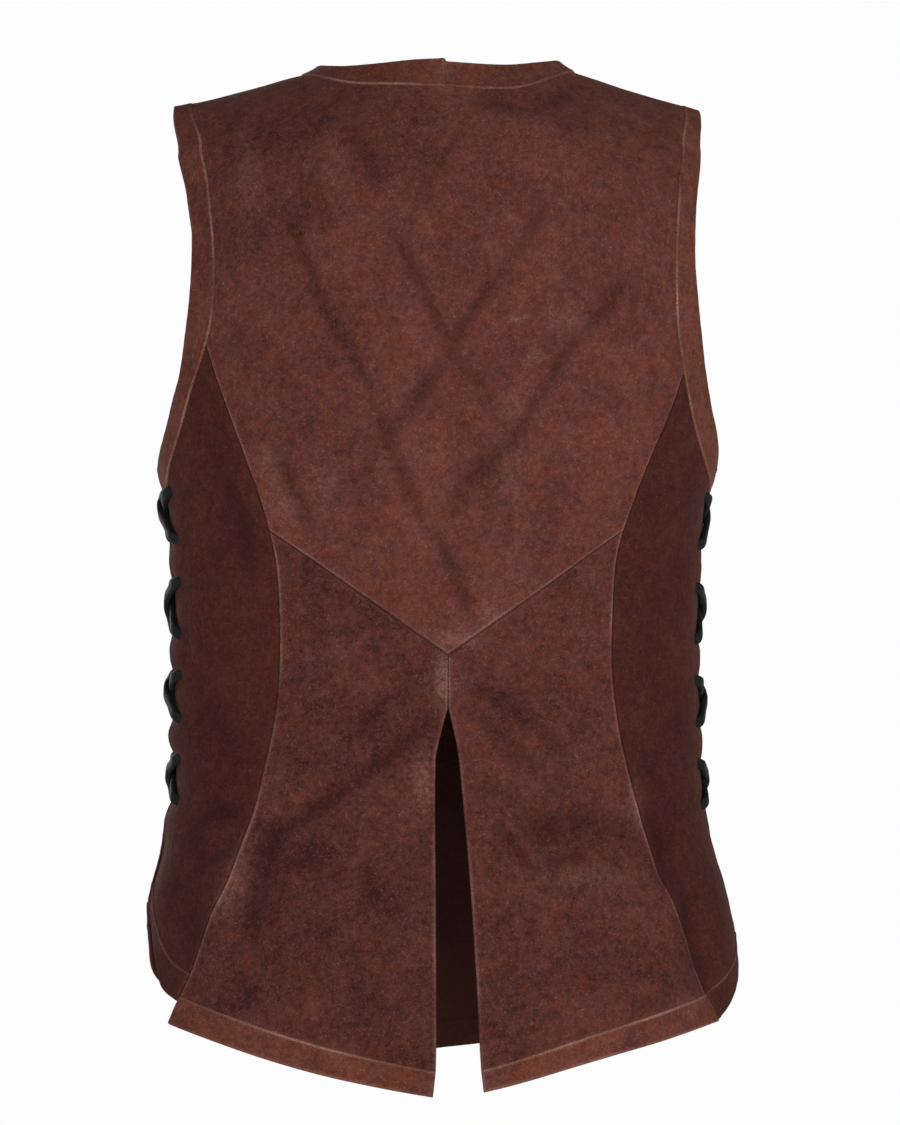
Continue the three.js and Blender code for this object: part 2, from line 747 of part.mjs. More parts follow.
// The whole lace: up one zigzag from the lowest back hole, across inside at the top, and
// down the other zigzag to the lowest front hole.
function lacePoints(side) {
  const falling = crossingsOf(side);
  const rising = reversed(falling);
  const faceAt = (k) => (k % 2 === 0 ? "back" : "front");
  const insideRun = (row) => (row === falling[0] ? 0 : 1);
  const lowest = rising[0].lower;
  const knot = (face) =>
    beside(side, face, laceHoleFromSide + 2, lowest - 11, -knotInside);
  const up = rising.map((row, k) => {
    const from = { face: faceAt(k), z: row.lower, run: -1 };
    const to = { face: faceAt(k + 1), z: row.upper, run: insideRun(row) };
    return crossing(side, from, to, row.bulge, false);
  });
  const down = falling.map((row, k) => {
    const from = { face: faceAt(k + 1), z: row.upper, run: insideRun(row) };
    const to = { face: faceAt(k), z: row.lower, run: -1 };
    return crossing(side, from, to, row.bulge, true);
  });
  const top = beside(side, "back", 0.01, falling[0].upper, -laceInside - 1);
  return [knot("back"), ...up.flat(), top, ...down.flat(), knot("front")];
}

// A curve whose steps fall on its own points, so that tight bends get more of them.
class BentLine extends THREE.CatmullRomCurve3 {
  getPointAt(share, target) {
    return this.getPoint(share, target);
  }
  getTangentAt(share, target) {
    return this.getTangent(share, target);
  }
}

function laceSolid(side) {
  const points = lacePoints(side);
  const radius = laceDiameter / 2;
  const sides = 8;
  const round = new THREE.Shape(
    sampled(sides - 1, (share) => {
      const angle = (2 * Math.PI * share * (sides - 1)) / sides;
      return new THREE.Vector2(radius * Math.cos(angle), radius * Math.sin(angle));
    }),
  );
  const tube = new THREE.ExtrudeGeometry(round, {
    steps: points.length - 1,
    bevelEnabled: false,
    extrudePath: new BentLine(points, false, "centripetal"),
  });
  let solid = solidOf(tube);
  for (const end of [points[0], points[points.length - 1]]) {
    const knot = new THREE.IcosahedronGeometry(knotRadius, 1).translate(end.x, end.y, end.z);
    solid = solid.add(solidOf(knot));
  }
  return solid;
}

// ---- The bodice ----
const finish = {
  suede: new THREE.MeshStandardMaterial({ color: 0x5a3029, roughness: 0.95 }),
  darkSuede: new THREE.MeshStandardMaterial({ color: 0x4a2622, roughness: 0.95 }),
  band: new THREE.MeshStandardMaterial({ color: 0x66382d, roughness: 0.95 }),
  lace: new THREE.MeshStandardMaterial({ color: 0x15171a, roughness: 0.8 }),
};

const bodice = new THREE.Group();
function add(name, geometry, material) {
  const mesh = new THREE.Mesh(geometry, material);
  mesh.name = name;
  bodice.add(mesh);
}

// A piece of the wearer's right is laid out on the left and turned over the centre.
const toSide = (grid, side) => (side === "left" ? grid : grid.map(mirrored));
const panel = (grid) => wallGeometry(grid, panelThickness);
const band = (grid) => wallGeometry(grid, bandThickness, bandLift);

add("back_yoke", panel(yokeGrid()), finish.suede);
for (const side of ["left", "right"]) {
  add("back_skirt_" + side, panel(toSide(skirtGrid(side), side)), finish.suede);
  const sideBack = panel(toSide(sideBackGrid(side), side));
  const laced = punched(solidOf(sideBack), "back", side);
  add("side_back_" + side, geometryOf(laced), finish.darkSuede);
}
const front = punched(solidOf(panel(frontGrid())), "front", "left");
add("front", geometryOf(punched(front, "front", "right")), finish.suede);

for (const side of ["left", "right"]) {
  add("neck_band_" + side, band(toSide(neckBandGrid(side), side)), finish.band);
  add("armhole_band_" + side, band(toSide(armholeBandGrid(side), side)), finish.band);
  add("hem_band_back_" + side, band(toSide(backHemBandGrid(side), side)), finish.band);
  add("hem_band_side_" + side, band(toSide(sideHemBandGrid(side), side)), finish.band);
  add("lace_" + side, geometryOf(laceSolid(side)), finish.lace);
}
add("hem_band_front", band(frontHemBandGrid()), finish.band);

export default bodice;
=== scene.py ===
# %% [markdown]
# # A suede bodice laced at the sides
# The real garment is cut from thin brown suede: a back yoke that ends in a point, two
# flared back skirts with an open vent between them, two side backs and one front. Folded
# strips bind its neck, armholes and hems, and black laces close its sides.
# Every piece here is a thin shell on one body form, so that neighbours meet at a seam
# line that both of them share. All sizes in the tables are millimetres.

# %% Load the fixed frame
import bpy
import math
import numpy as np
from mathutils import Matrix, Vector


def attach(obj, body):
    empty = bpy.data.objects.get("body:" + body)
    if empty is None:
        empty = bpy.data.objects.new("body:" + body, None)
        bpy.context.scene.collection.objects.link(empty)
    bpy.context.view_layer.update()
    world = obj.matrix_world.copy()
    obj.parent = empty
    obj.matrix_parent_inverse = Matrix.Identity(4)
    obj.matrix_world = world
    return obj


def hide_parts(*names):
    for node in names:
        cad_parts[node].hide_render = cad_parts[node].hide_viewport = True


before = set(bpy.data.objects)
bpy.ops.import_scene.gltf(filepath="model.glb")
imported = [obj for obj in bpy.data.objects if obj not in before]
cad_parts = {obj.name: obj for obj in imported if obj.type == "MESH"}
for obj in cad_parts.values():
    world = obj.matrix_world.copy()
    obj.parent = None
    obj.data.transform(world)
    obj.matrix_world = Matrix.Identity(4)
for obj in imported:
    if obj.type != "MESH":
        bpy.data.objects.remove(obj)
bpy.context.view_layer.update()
MM = 0.001  # one millimetre in metres

# %% [markdown]
# ## Camera
# The camera stands behind the wearer, level with the waist and a little towards their
# left, far away, so that the garment shows almost without perspective. It comes first,
# because every later cell is looked at through it. Its sizes are in metres.

# %% Camera
VIEW_TURN = math.radians(4.0)  # from straight behind, towards the wearer's left
VIEW_DISTANCE = 3.2
VIEW_HEIGHT = -0.311
VIEW_ASIDE = 0.0077  # how far the view's centre lies to the right of the centre back
VIEW_COVERS = 0.72  # how much of the garment's height fits into the view


def add_object(name, data):
    made = bpy.data.objects.new(name, data)
    bpy.context.scene.collection.objects.link(made)
    return made



camera_data = bpy.data.cameras.new("camera")
camera_data.sensor_fit = "VERTICAL"
camera_data.sensor_height = 36.0
camera_data.lens = camera_data.sensor_height * VIEW_DISTANCE / VIEW_COVERS
camera = add_object("camera", camera_data)
camera.location = (
    math.sin(VIEW_TURN) * VIEW_DISTANCE - math.cos(VIEW_TURN) * VIEW_ASIDE,
    math.cos(VIEW_TURN) * VIEW_DISTANCE + math.sin(VIEW_TURN) * VIEW_ASIDE,
    VIEW_HEIGHT,
)
camera.rotation_euler = (math.radians(90), 0, math.radians(180) - VIEW_TURN)
bpy.context.scene.camera = camera
print("lens:", round(camera_data.lens, 1), "mm")

# %% [markdown]
# ## Sections of the body
# A garment that is worn takes its form from the body inside it. Here that form is a
# stack of level sections, each a rounded oval with its own half width and its own depths
# behind and in front. A smooth line through each column gives the sections in between.

# %% Tables with named columns
def table(columns, *rows):
    """Rows of numbers as one array for each named column; None leaves a place empty."""
    names = columns.split()
    return {name: np.array([row[k] for row in rows], float) for k, name in enumerate(names)}


LEVELS = table(
    "z half back front",
    (-650, 195, 124, 119),
    (-600, 193, 120, 117),
    (-550, 190, 114, 112),
    (-520, 184, 110, 109),
    (-490, 175.5, 105, 105),
    (-460, 172.5, 101, 101),
    (-420, 170, 96, 98),
    (-370, 169, 94, 98),
    (-320, 169.5, 97, 105),
    (-285, 172, 102, 114),
    (-250, 179, 106, 121),
    (-210, 177, 110, 124),
    (-160, 176, 112, 119),
    (-110, 175, 109, 107),
    (-70, 175, 99, 90),
    (-40, 175, 87, 73),
    (-10, 175, 70, 53),
    (20, 175, 54, 36),
)
SQUARENESS = 2.3  # 2 is an ellipse, more is squarer
print("sections:", len(LEVELS["z"]))

# %% [markdown]
# The line through a column has no corners: at each row it takes the slope between the
# row's two neighbours, so a waist or a hip rounds over softly, as cloth does.

# %% A smooth line through a column
def smooth(rows, key, column, at):
    """A column's value at any place of the key column, on a curve through all its rows."""
    known = ~np.isnan(rows[column])
    order = np.argsort(rows[key][known])
    x, v = rows[key][known][order], rows[column][known][order]
    last = len(x) - 1
    k = np.arange(last + 1)
    after, before = np.minimum(k + 1, last), np.maximum(k - 1, 0)
    slope = (v[after] - v[before]) / (x[after] - x[before])
    at = np.clip(np.asarray(at, float), x[0], x[-1])
    low = np.clip(np.searchsorted(x, at, side="right") - 1, 0, last - 1)
    step = x[low + 1] - x[low]
    t = (at - x[low]) / step
    return (
        (2 * t**3 - 3 * t**2 + 1) * v[low]
        + (t**3 - 2 * t**2 + t) * step * slope[low]
        + (3 * t**2 - 2 * t**3) * v[low + 1]
        + (t**3 - t**2) * step * slope[low + 1]
    )


print("half width at the waist:", round(float(smooth(LEVELS, "z", "half", -395)), 1), "mm")

# %% [markdown]
# ## From a chart to the form
# A place on the form is a pair [turn, z]. turn is the angle from the centre back towards
# the wearer's left. Near the shoulders the form rounds over to the shoulder line, like
# the top of a barrel. Drawing every seam on this chart keeps all pieces on one surface.

# %% The form
NECK_HALF = 87.0
SHOULDER_SLOPE = 0.25
CROWN = 70.0  # how far below the shoulder line the body reaches its full depth


def shoulder_height(x):
    aside = np.abs(x) - NECK_HALF
    inside = np.maximum(-aside, 0) / NECK_HALF
    return np.where(aside > 0, -SHOULDER_SLOPE * aside, 43 * inside + 40 * inside**2)


def section(z):
    return [smooth(LEVELS, "z", name, z) for name in ("half", "back", "front")]


def on_form(chart):
    """Chart points as places in space."""
    turn, z = chart[..., 0], chart[..., 1]
    half, back, front = section(z)
    across, along = np.sin(turn), np.cos(turn)
    depth = np.where(along >= 0, back, front)
    total = np.abs(across / half) ** SQUARENESS + np.abs(along / depth) ** SQUARENESS
    radius = total ** (-1 / SQUARENESS)
    below = shoulder_height(radius * across) - z
    rise = 1 - np.clip(below / CROWN, 0, 1)
    return np.stack([radius * across, radius * along * np.sqrt(1 - rise**2), z], -1)


def outsideness(p):
    """Below zero inside the form, zero on it and above zero outside."""
    x, y, z = p[..., 0], p[..., 1], p[..., 2]
    half, back, front = section(z)
    depth = np.where(y >= 0, back, front)
    width = np.abs(x / half) ** SQUARENESS
    below = shoulder_height(x) - z
    reach = depth * np.maximum(1e-3, 1 - width) ** (1 / SQUARENESS)
    barrel = width + np.abs(y / depth) ** SQUARENESS - 1
    top = (y / reach) ** 2 + (1 - below / CROWN) ** 2 - 1
    return np.where(below >= CROWN, barrel, top)


def outwards(points):
    """The direction straight out of the form at each place."""
    steps = 0.01 * np.eye(3)
    slope = [outsideness(points + s) - outsideness(points - s) for s in steps]
    normal = np.stack(slope, -1)
    return normal / np.linalg.norm(normal, axis=-1, keepdims=True)


def at_width(x, z, face=1):
    """Chart points at a distance from the centre line; face is 1 behind, -1 in front."""
    x, z = np.broadcast_arrays(np.asarray(x, float), np.asarray(z, float))
    half, back, front = section(z)
    share = np.maximum(0, 1 - np.abs(x / half) ** SQUARENESS)
    depth = (back if face > 0 else front) * share ** (1 / SQUARENESS)
    turn = np.arctan2(x, face * depth)
    return np.stack([turn if face > 0 else turn % (2 * np.pi), z], -1)


def at_side(y, z, face=1):
    """Chart points on the wearer's left at a distance from the side line."""
    y, z = np.broadcast_arrays(np.asarray(y, float), np.asarray(z, float))
    half, back, front = section(z)
    share = np.maximum(0, 1 - np.abs(y / (back if face > 0 else front)) ** SQUARENESS)
    return np.stack([np.arctan2(half * share ** (1 / SQUARENESS), face * y), z], -1)


print("a place on the waist:", on_form(at_width(50.0, -395.0)).round(1))

# %% [markdown]
# ## Folds and creases
# Thin suede over a body shows soft troughs and ridges, uneven in length and depth. Each
# row is one of them: from (x1, z1) to (x2, z2) on the back (face 1) or the front
# (face -1), bowed sideways by bow, with a half width and a depth below or above zero.
# The yoke also carries the marks of a lattice that was once pressed into the hide.
# The creases are also painted: darker in their troughs as painted shade, and a little
# lighter on the few raised ones.

# %% Fold tables
FOLDS = table(
    "face x1 z1 x2 z2 bow width depth",
    (1, 6, -403, 64, -450, 0, 12, -2.2),
    (1, 62, -448, 110, -478, 0, 11, -2.6),
    (1, 109, -470, 123, -548, 1, 9, -4.2),
    (1, 128, -478, 148, -566, 0, 11, 3.4),
    (1, 59, -540, 58, -640, 0, 14, -2.6),
    (1, 28, -560, 30, -650, 0, 18, 2.4),
    (1, 160, -500, 172, -575, 0, 12, -3),
    (1, -14, -390, -70, -428, 0, 10, -1.8),
    (1, -36, -472, -118, -477, 0, 11, -2.4),
    (1, -70, -509, -112, -508, 0, 12, 2),
    (1, -64, -540, -84, -640, 0, 22, -3),
    (1, -112, -520, -128, -625, 0, 18, 2.8),
    (1, -148, -508, -170, -590, 0, 9, -4.2),
    (-1, 78, -250, 62, -400, 0, 26, -3),
    (-1, -82, -255, -60, -390, 0, 26, -3),
    (-1, 52, -470, 70, -640, 0, 26, -3.6),
    (-1, -48, -460, -74, -640, 0, 26, -3.4),
    (-1, 112, -480, 128, -625, 0, 22, 3.2),
    (-1, -108, -470, -130, -625, 0, 22, 3),
)
CREASES = table(
    "face x1 z1 x2 z2 bow width depth",
    (1, 102, -90, 78, -154, 1, 3.6, -0.9),  # lattice, falling to the right
    (1, 79, -153, 48, -206, 1, 3.8, -0.9),
    (1, 49, -206, 12, -292, -1, 4.6, -0.8),
    (1, 7, -294, -13, -346, 2, 4.6, -0.9),
    (1, 64, -34, 41, -83, 2, 6, -0.9),
    (1, 36, -104, -2, -183, 1, 3.4, -1.2),
    (1, -1, -182, -28, -212, 0, 4.2, -0.7),
    (1, -25, -208, -46, -238, 0, 6, -0.6),
    (1, -22, -20, 24, -96, 0, 3.6, -0.4),  # lattice, falling to the left
    (1, -63, -82, -30, -133, 2, 4.8, -0.8),
    (1, -31, -132, 2, -182, -1, 3.8, -1.1),
    (1, 2, -182, 33, -226, 1, 5.5, -0.8),
    (1, 33, -228, 76, -279, 1, 3.6, -0.45),
    (1, -112, -133, -76, -176, 1, 4.6, -0.8),
    (1, -77, -175, -39, -236, -1, 4.2, -1.0),
    (1, -39, -234, 1, -281, -2, 6.5, -0.9),
    (1, 110, -238, 84, -293, 1, 4.2, -1.0),
    # the next two troughs are darkened as painted shadow under the neck band
    (1, -18, -19, -49, -30, 1, 5, -0.7),  # under the neck band
    (1, -48, -30, -84, -12, -1, 5, -0.7),
    (1, 38, -394, 62, -421, 1, 5, -1.0),  # folds of the left skirt
    (1, 2, -400, 66, -452, 1, 5, -0.8),
    (1, 64, -450, 111, -480, 1, 4.5, -1.1),
    (1, 109, -474, 124, -545, -1, 4.2, -1.4),
    (1, 52, -493, 48, -524, 1, 4, -0.8),
    (1, 60, -545, 57, -586, 1, 4, -0.7),
    (1, 82, -332, 81, -362, 0, 4.5, -0.35),
    (1, -11, -390, -37, -395, 1, 3.6, -1.0),  # folds of the right skirt
    (1, -34, -394, -72, -430, 1, 4.5, -0.9),
    (1, -20, -404, -62, -444, -1, 5, -0.6),
    (1, -30, -473, -54, -504, 0, 3, -1.0),
    (1, -34, -469, -58, -499, 0, 2.4, 0.7),
    (1, -57, -500, -86, -493, 1, 3.4, -1.1),
    (1, -34, -474, -123, -477, 2, 9, -0.8),
    (1, 142, -250, 121, -318, 3, 4.6, -1.3),  # the side backs
    (1, 128, -466, 151, -470, -2, 3.6, -1.2),
    (1, 152, -470, 158, -492, -1, 3.6, -0.9),
    (1, 151, -499, 130, -483, -2, 3.6, -1.2),
    (1, 156, -372, 134, -430, -3, 8, -0.6),
    (1, -150, -310, -126, -366, -4, 8, -0.5),
    (1, -152, -392, -130, -446, 3, 8, -0.5),
    (1, -128, -468, -136, -512, 2, 5, -1.0),
    (1, -146, -512, -168, -584, -1, 4.2, -1.5),
    (-1, 100, -236, 40, -262, 4, 8, -1.1),  # the front
    (-1, -98, -240, -36, -268, -4, 8, -1.0),
    (-1, 130, -300, 96, -360, 3, 8, -1.0),
    (-1, -132, -306, -100, -356, -3, 8, -1.0),
    (-1, 20, -380, 64, -404, 2, 7, -0.9),
    (-1, -18, -376, -60, -398, -2, 7, -0.8),
    (-1, 88, -440, 70, -520, 3, 8, -1.4),
    (-1, -80, -436, -66, -512, -3, 8, -1.3),
    (-1, 140, -470, 122, -486, 1, 5, -1.0),
    (-1, -142, -462, -126, -480, -1, 5, -0.9),
    (-1, 60, -96, 34, -150, 2, 7, -0.6),
    (-1, -58, -92, -36, -146, -2, 7, -0.6),
)


def trough(points, row, rows):
    """How strongly one fold is felt at each place, from 0 to 1."""
    x1, z1, x2, z2 = (rows[name][row] for name in ("x1", "z1", "x2", "z2"))
    run = np.hypot(x2 - x1, z2 - z1)
    along = ((points[..., 0] - x1) * (x2 - x1) + (points[..., 2] - z1) * (z2 - z1)) / run
    aside = ((points[..., 0] - x1) * (z2 - z1) - (points[..., 2] - z1) * (x2 - x1)) / run
    share = along / run
    aside = aside - 4 * rows["bow"][row] * share * (1 - share)
    ends = np.exp(-((np.abs(2 * share - 1) / 0.95) ** 4))
    same_face = (points[..., 1] >= 0) == (rows["face"][row] > 0)
    return same_face * ends * np.exp(-((aside / rows["width"][row]) ** 2))


def fold_height(points, rows):
    return sum(rows["depth"][k] * trough(points, k, rows) for k in range(len(rows["face"])))


print("folds:", len(FOLDS["face"]), " creases:", len(CREASES["face"]))

# %% [markdown]
# ## What lacing and wear do to the sides
# Each lace crossing draws the two edges at a side together and inwards, so between the
# crossings the edges swell out a little. One row is one crossing: the heights of its
# upper and lower holes, how far its middle stands out and how far the edges are drawn in
# on each side. The right side is laced a little lower.
# The wearer also stands a little unevenly, so each side has its own small sway outwards
# and the shoulders lean.

# %% Crossings and sway
CROSSINGS = table(
    "upper lower bulge pull_left pull_right",
    (-266, -296, 4.5, 1.5, 1.5),
    (-323, -356, 5.0, 3.4, 2.8),
    (-382, -409, 5.2, 4.3, 1.6),
    (-435, -461, 4.5, 5.2, 1.9),
)
RIGHT_DROP = 4  # how much lower the right side is laced
SWAY = table(
    "z left right",
    (-25, 0.8, 0), (-45, 2.4, 0), (-72, 0, 0), (-120, 0, 0), (-185, -1, 1.8),
    (-225, 0, 0.8), (-255, 0, -1.8), (-290, 1.4, -1.6), (-330, 3, -0.6), (-370, 3.6, -1),
    (-415, 3.6, -1), (-450, 2, -1.4), (-473, 2.2, -1.6), (-500, 0.4, 0), (-525, 0, 0),
    (-545, -4.6, 0.6), (-563, -6, 0), (-580, -2.5, -1.2), (-610, -1, -1),
)
LEAN = table(
    "x up",
    (-168, -0.5), (-140, 0), (-110, 1.3), (-90, 2), (-74, 3.2), (-62, 3.2),
    (-40, 0.8), (0, 0), (70, 0), (95, -0.3), (135, -1.8), (168, -2.2),
)
PULL_EDGE, PULL_FADE = 14, 24  # how far from the side line the pull is full, then fades
PULL_REACH = 20  # how far above and below a crossing's middle it pulls


def crossings_of(side):
    """The rows of one side as dictionaries, from the top down."""
    drop = RIGHT_DROP if side == "right" else 0
    rows = []
    for k in range(len(CROSSINGS["upper"])):
        row = {name: CROSSINGS[name][k] for name in CROSSINGS}
        rows.append({**row, "upper": row["upper"] - drop, "lower": row["lower"] - drop})
    return rows


def pull(side, z):
    """How far the crossings of one side draw its edges in at a height."""
    total = 0
    for row in crossings_of(side):
        middle = (row["upper"] + row["lower"]) / 2
        total = total + row["pull_" + side] * np.exp(-(((z - middle) / PULL_REACH) ** 4))
    return total


def side_relief(points):
    x, y, z = points[..., 0], points[..., 1], points[..., 2]
    near_edge = np.exp(-((np.maximum(0, np.abs(y) - PULL_EDGE) / PULL_FADE) ** 2))
    sway = np.where(x > 0, smooth(SWAY, "z", "left", z), smooth(SWAY, "z", "right", z))
    drawn_in = np.where(x > 0, pull("left", z), pull("right", z))
    return sway * np.abs(x / smooth(LEVELS, "z", "half", z)) ** 5 - drawn_in * near_edge


print("crossings on each side:", len(CROSSINGS["upper"]))

# %% [markdown]
# ## Rumple
# No hide lies perfectly smooth. A sum of a few long waves in fixed random directions
# lifts and lowers the surface by a fraction of a millimetre. It is worked out from the
# place alone, so that both sides of a seam rise together.

# %% Rumple
WAVE_COUNT, SHORTEST, LONGEST = 14, 24, 80
WAVE_HEIGHT = 0.0026  # as a share of the wave's length
CREASE_DEPTH = 1.3  # how much deeper a crease is than its row says
TOP_STARTS, TOP_FADES = -70, 50  # above this height the shoulders lean, over this much

chance = np.random.default_rng(7)
WAVES = [
    (chance.normal(size=3), chance.uniform(SHORTEST, LONGEST), chance.uniform(0, 6.28))
    for _ in range(WAVE_COUNT)
]


def rumple(points):
    height = 0
    for direction, length, phase in WAVES:
        direction = direction / np.linalg.norm(direction)
        height = height + np.sin(points @ direction * 2 * np.pi / length + phase) * length
    return WAVE_HEIGHT * height


def lean(points):
    """The shoulders are not quite level: how far each place is moved up."""
    x, z = points[..., 0], points[..., 2]
    near_top = np.clip((z - TOP_STARTS) / TOP_FADES, 0, 1)
    return smooth(LEAN, "x", "up", x) * near_top * near_top * (3 - 2 * near_top)


def relief_at(points):
    """Everything that lifts or lowers the suede, in mm."""
    folds = fold_height(points, FOLDS) + CREASE_DEPTH * fold_height(points, CREASES)
    return folds + rumple(points) + side_relief(points)


print("rumple at the centre back:", round(float(rumple(np.array([0.0, 110.0, -200.0]))), 2), "mm")

# %% [markdown]
# ## Seam lines
# A maker draws the seams first. Each function below gives one line on the chart, for
# the wearer's left. The right side mirrors it, apart from the hems, the vent and the
# neck, which hang a little differently on the two sides.

# %% Tables of the seams
PRINCESS = table(
    "z x",
    (-606, 176.5), (-585, 168.3), (-560, 159.3), (-534, 148.3), (-509, 135.2),
    (-484, 126.8), (-459, 118.8), (-434, 112.9), (-409, 107.9), (-384, 104.8),
    (-360, 104.2), (-334, 104.8), (-309, 107), (-291, 110.8), (-270, 117),
    (-241, 127), (-205, 140), (-172, 149.5),
)
ARMHOLE = table(  # how far the seam and the edge lie from the side line
    "z back_seam_left back_seam_right front_seam back_edge front_edge",
    (-268, 13, 13, 13, None, None),
    (-262, 26, 28, 26, None, None),
    (-251, 36, 43, 38, 9, 9),
    (-234, 45.5, 55, 50, 27, 29),
    (-205, 56, 64, 65, 41, 45),
    (-172, 68, 70.5, 76, 50.5, 58),
    (-140, 71.5, 71.5, 78, 54.5, 61),
    (-105, 68, 68, 72, 53.5, 56),
    (-75, 61, 61, 60, 45.5, 45),
    (-50, 52.5, 52.5, 46, 36.5, 32),
)
BACK_NECK = table(
    "x left right seam_left seam_right",
    (0, 6, 4, -12.8, -12.8),
    (20, 5, 2.7, -12.3, -14.4),
    (45, 3, 2.2, -11.5, -14),
    (62, 3, 3.5, -9, -10.8),
)
BACK_HEM = table(
    "x left right",
    (0, -642.2, -641.6), (34, -636.4, -634.4), (75, -628.3, -623.9),
    (120, -616.4, -612.4), (175, -599.4, -599.9),
)
SIDE_HEM = table(
    "share aside_left left aside_right right",
    (0, 13, -531, 12, -564),
    (0.35, 28, -554, 27, -577),
    (0.7, 47, -576, 48, -590),
    (1, 65, -585, 64, -599),
)
FRONT_HEM = table(
    "share turn z",
    (0, 96, -545), (0.12, 102, -571), (0.27, 114, -592),
    (0.5, 132, -611), (0.75, 155, -627), (1, 180, -634),
)
VENT = table(
    "z left right",
    (-401, 0, 0), (-421, 5.5, 4.5), (-434, 8, 6.5), (-500, 8.6, 12),
    (-580, 9, 16.5), (-625, 9.6, 18.5), (-645, 12, 20.5),
)
LACED_EDGE = table(
    "z y",
    (-570, 12.5), (-500, 14.5), (-465, 13), (-380, 13),
    (-300, 13), (-268, 13), (-250, 8.5),
)
NECK_EDGE_HALF = 76.0
SHOULDER_SEAM_END, SHOULDER_EDGE = 157.0, 168.5
ARMHOLE_TURNS = -50.0  # above this height the armhole bends over to the shoulder
NECK_DROP, NECK_FULLNESS = 132.0, 0.72  # the front neck's depth; less is squarer
NECK_BAND, HEM_BAND = 15.0, 17.5
CHEVRON_POINT, CHEVRON_CORNER = -368.5, -291.0
VENT_TOP, VENT_FOOT = -401.0, -640.0
HEM_CORNER = 175.0  # how far out the back hem meets the princess seam
PRINCESS_TOP = {"left": -175.0, "right": -191.0}  # where the seam meets the armhole band
UNDERARM_SEAM, UNDERARM_EDGE = -268.0, -251.0
print("seam tables ready")

# %% [markdown]
# A line is a list of chart points, close enough together to count as a smooth curve.
# Three helpers mix, mirror and move lines, and the simplest seams come first.

# %% Simple lines on the chart
DENSE = np.linspace(0, 1, 301)


def between(low, high, share):
    return low + (high - low) * share


def mirrored(line, face=1):
    """Turned over the centre line; in front, turns run on past half a circle."""
    return line * (-1, 1) + (0 if face > 0 else 2 * np.pi, 0)


def moved_to(line, start=None, end=None):
    """The same line, eased over so that its ends fall on given places."""
    share = DENSE[:, None]
    to_start = 0 if start is None else (start - line[0]) * (1 - share)
    to_end = 0 if end is None else (end - line[-1]) * share
    return line + to_start + to_end


def princess(z):
    """The seam from the hem up over the shoulder blade to the armhole."""
    return at_width(smooth(PRINCESS, "z", "x", z), z)


def laced(face, low, high):
    """The laced edge, from low to high."""
    z = between(low, high, DENSE)
    return at_side(smooth(LACED_EDGE, "z", "y", z), z, face)


def shoulder(face):
    """From the armhole band to the neck band."""
    x = between(SHOULDER_SEAM_END, NECK_HALF, DENSE)
    return at_width(x, shoulder_height(x), face)


print("length of the shoulder seam in mm:", round(float(SHOULDER_SEAM_END - NECK_HALF)))

# %% [markdown]
# The armhole runs beside the side line and then bends over to the shoulder. Each opening
# has two lines: the seam, where its band is sewn on, and the edge, where the band folds.

# %% Armholes and neck
def armhole(part, face, side):
    """Two lines: from the underarm to the princess seam, and on to the shoulder."""
    column = ("back_" if face > 0 else "front_") + part
    if column == "back_seam":
        column = column + "_" + side
    lowest = UNDERARM_SEAM if part == "seam" else UNDERARM_EDGE
    reach = SHOULDER_SEAM_END if part == "seam" else SHOULDER_EDGE
    end = at_width(reach, shoulder_height(reach), face)

    def place(z):
        return at_side(smooth(ARMHOLE, "z", column, z), z, face)

    lower = place(between(lowest, PRINCESS_TOP[side], DENSE))
    z = between(end[1], PRINCESS_TOP[side], (1 - DENSE) ** 2)
    near = np.clip((z - ARMHOLE_TURNS) / (end[1] - ARMHOLE_TURNS), 0, 1)
    near = near * near * (3 - 2 * near)
    turn = between(place(np.minimum(z, ARMHOLE_TURNS))[:, 0], end[0], near)
    upper = np.stack([turn, z], -1)
    return lower, upper


def back_neck(part, reach):
    """From the wearer's left shoulder to the right one; part is 'seam' or 'edge'."""
    end = float(shoulder_height(reach))
    rows = {name: np.append(BACK_NECK[name], reach if name == "x" else end) for name in BACK_NECK}
    x = reach * np.cos(np.pi * DENSE)
    start = "seam_" if part == "seam" else ""
    z = [smooth(rows, "x", start + name, np.abs(x)) for name in ("left", "right")]
    return at_width(x, np.where(x >= 0, *z))


def front_neck(reach, drop):
    turn = np.pi * DENSE
    x = reach * np.sign(np.cos(turn)) * np.abs(np.cos(turn)) ** NECK_FULLNESS
    z = between(shoulder_height(reach), -drop, np.abs(np.sin(turn)) ** 1.15)
    return at_width(x, z, -1)


print("points in each armhole line:", len(armhole("seam", 1, "left")[0]))

# %% [markdown]
# The hems rise towards the sides. "raised" gives the same line higher up, where the hem
# band's seam lies. The centre line and the chevron close the back skirts.

# %% Hems, vent and chevron
def back_hem(side, raised):
    """From the princess seam to the vent."""
    foot = princess(smooth(BACK_HEM, "x", side, HEM_CORNER) + raised)
    x = between(on_form(foot)[0], float(smooth(VENT, "z", side, VENT_FOOT + raised)), DENSE)
    return moved_to(at_width(x, smooth(BACK_HEM, "x", side, x) + raised), foot)


def side_hem(side, raised):
    """From the princess seam to the laced edge."""
    share = 1 - DENSE
    y = smooth(SIDE_HEM, "share", "aside_" + side, share)
    z = smooth(SIDE_HEM, "share", side, share) + raised
    end = at_side(smooth(LACED_EDGE, "z", "y", z[-1]), z[-1])
    return moved_to(at_side(y, z), princess(z[0]), end)


def front_hem(raised):
    """From the wearer's left laced edge to the right one."""
    share = 1 - np.abs(2 * DENSE - 1)
    turn = np.radians(smooth(FRONT_HEM, "share", "turn", share))
    z = smooth(FRONT_HEM, "share", "z", share) + raised
    line = np.stack([np.where(DENSE > 0.5, 2 * np.pi - turn, turn), z], -1)
    end = at_side(smooth(LACED_EDGE, "z", "y", z[0]), z[0], -1)
    return moved_to(line, end, mirrored(end, -1))


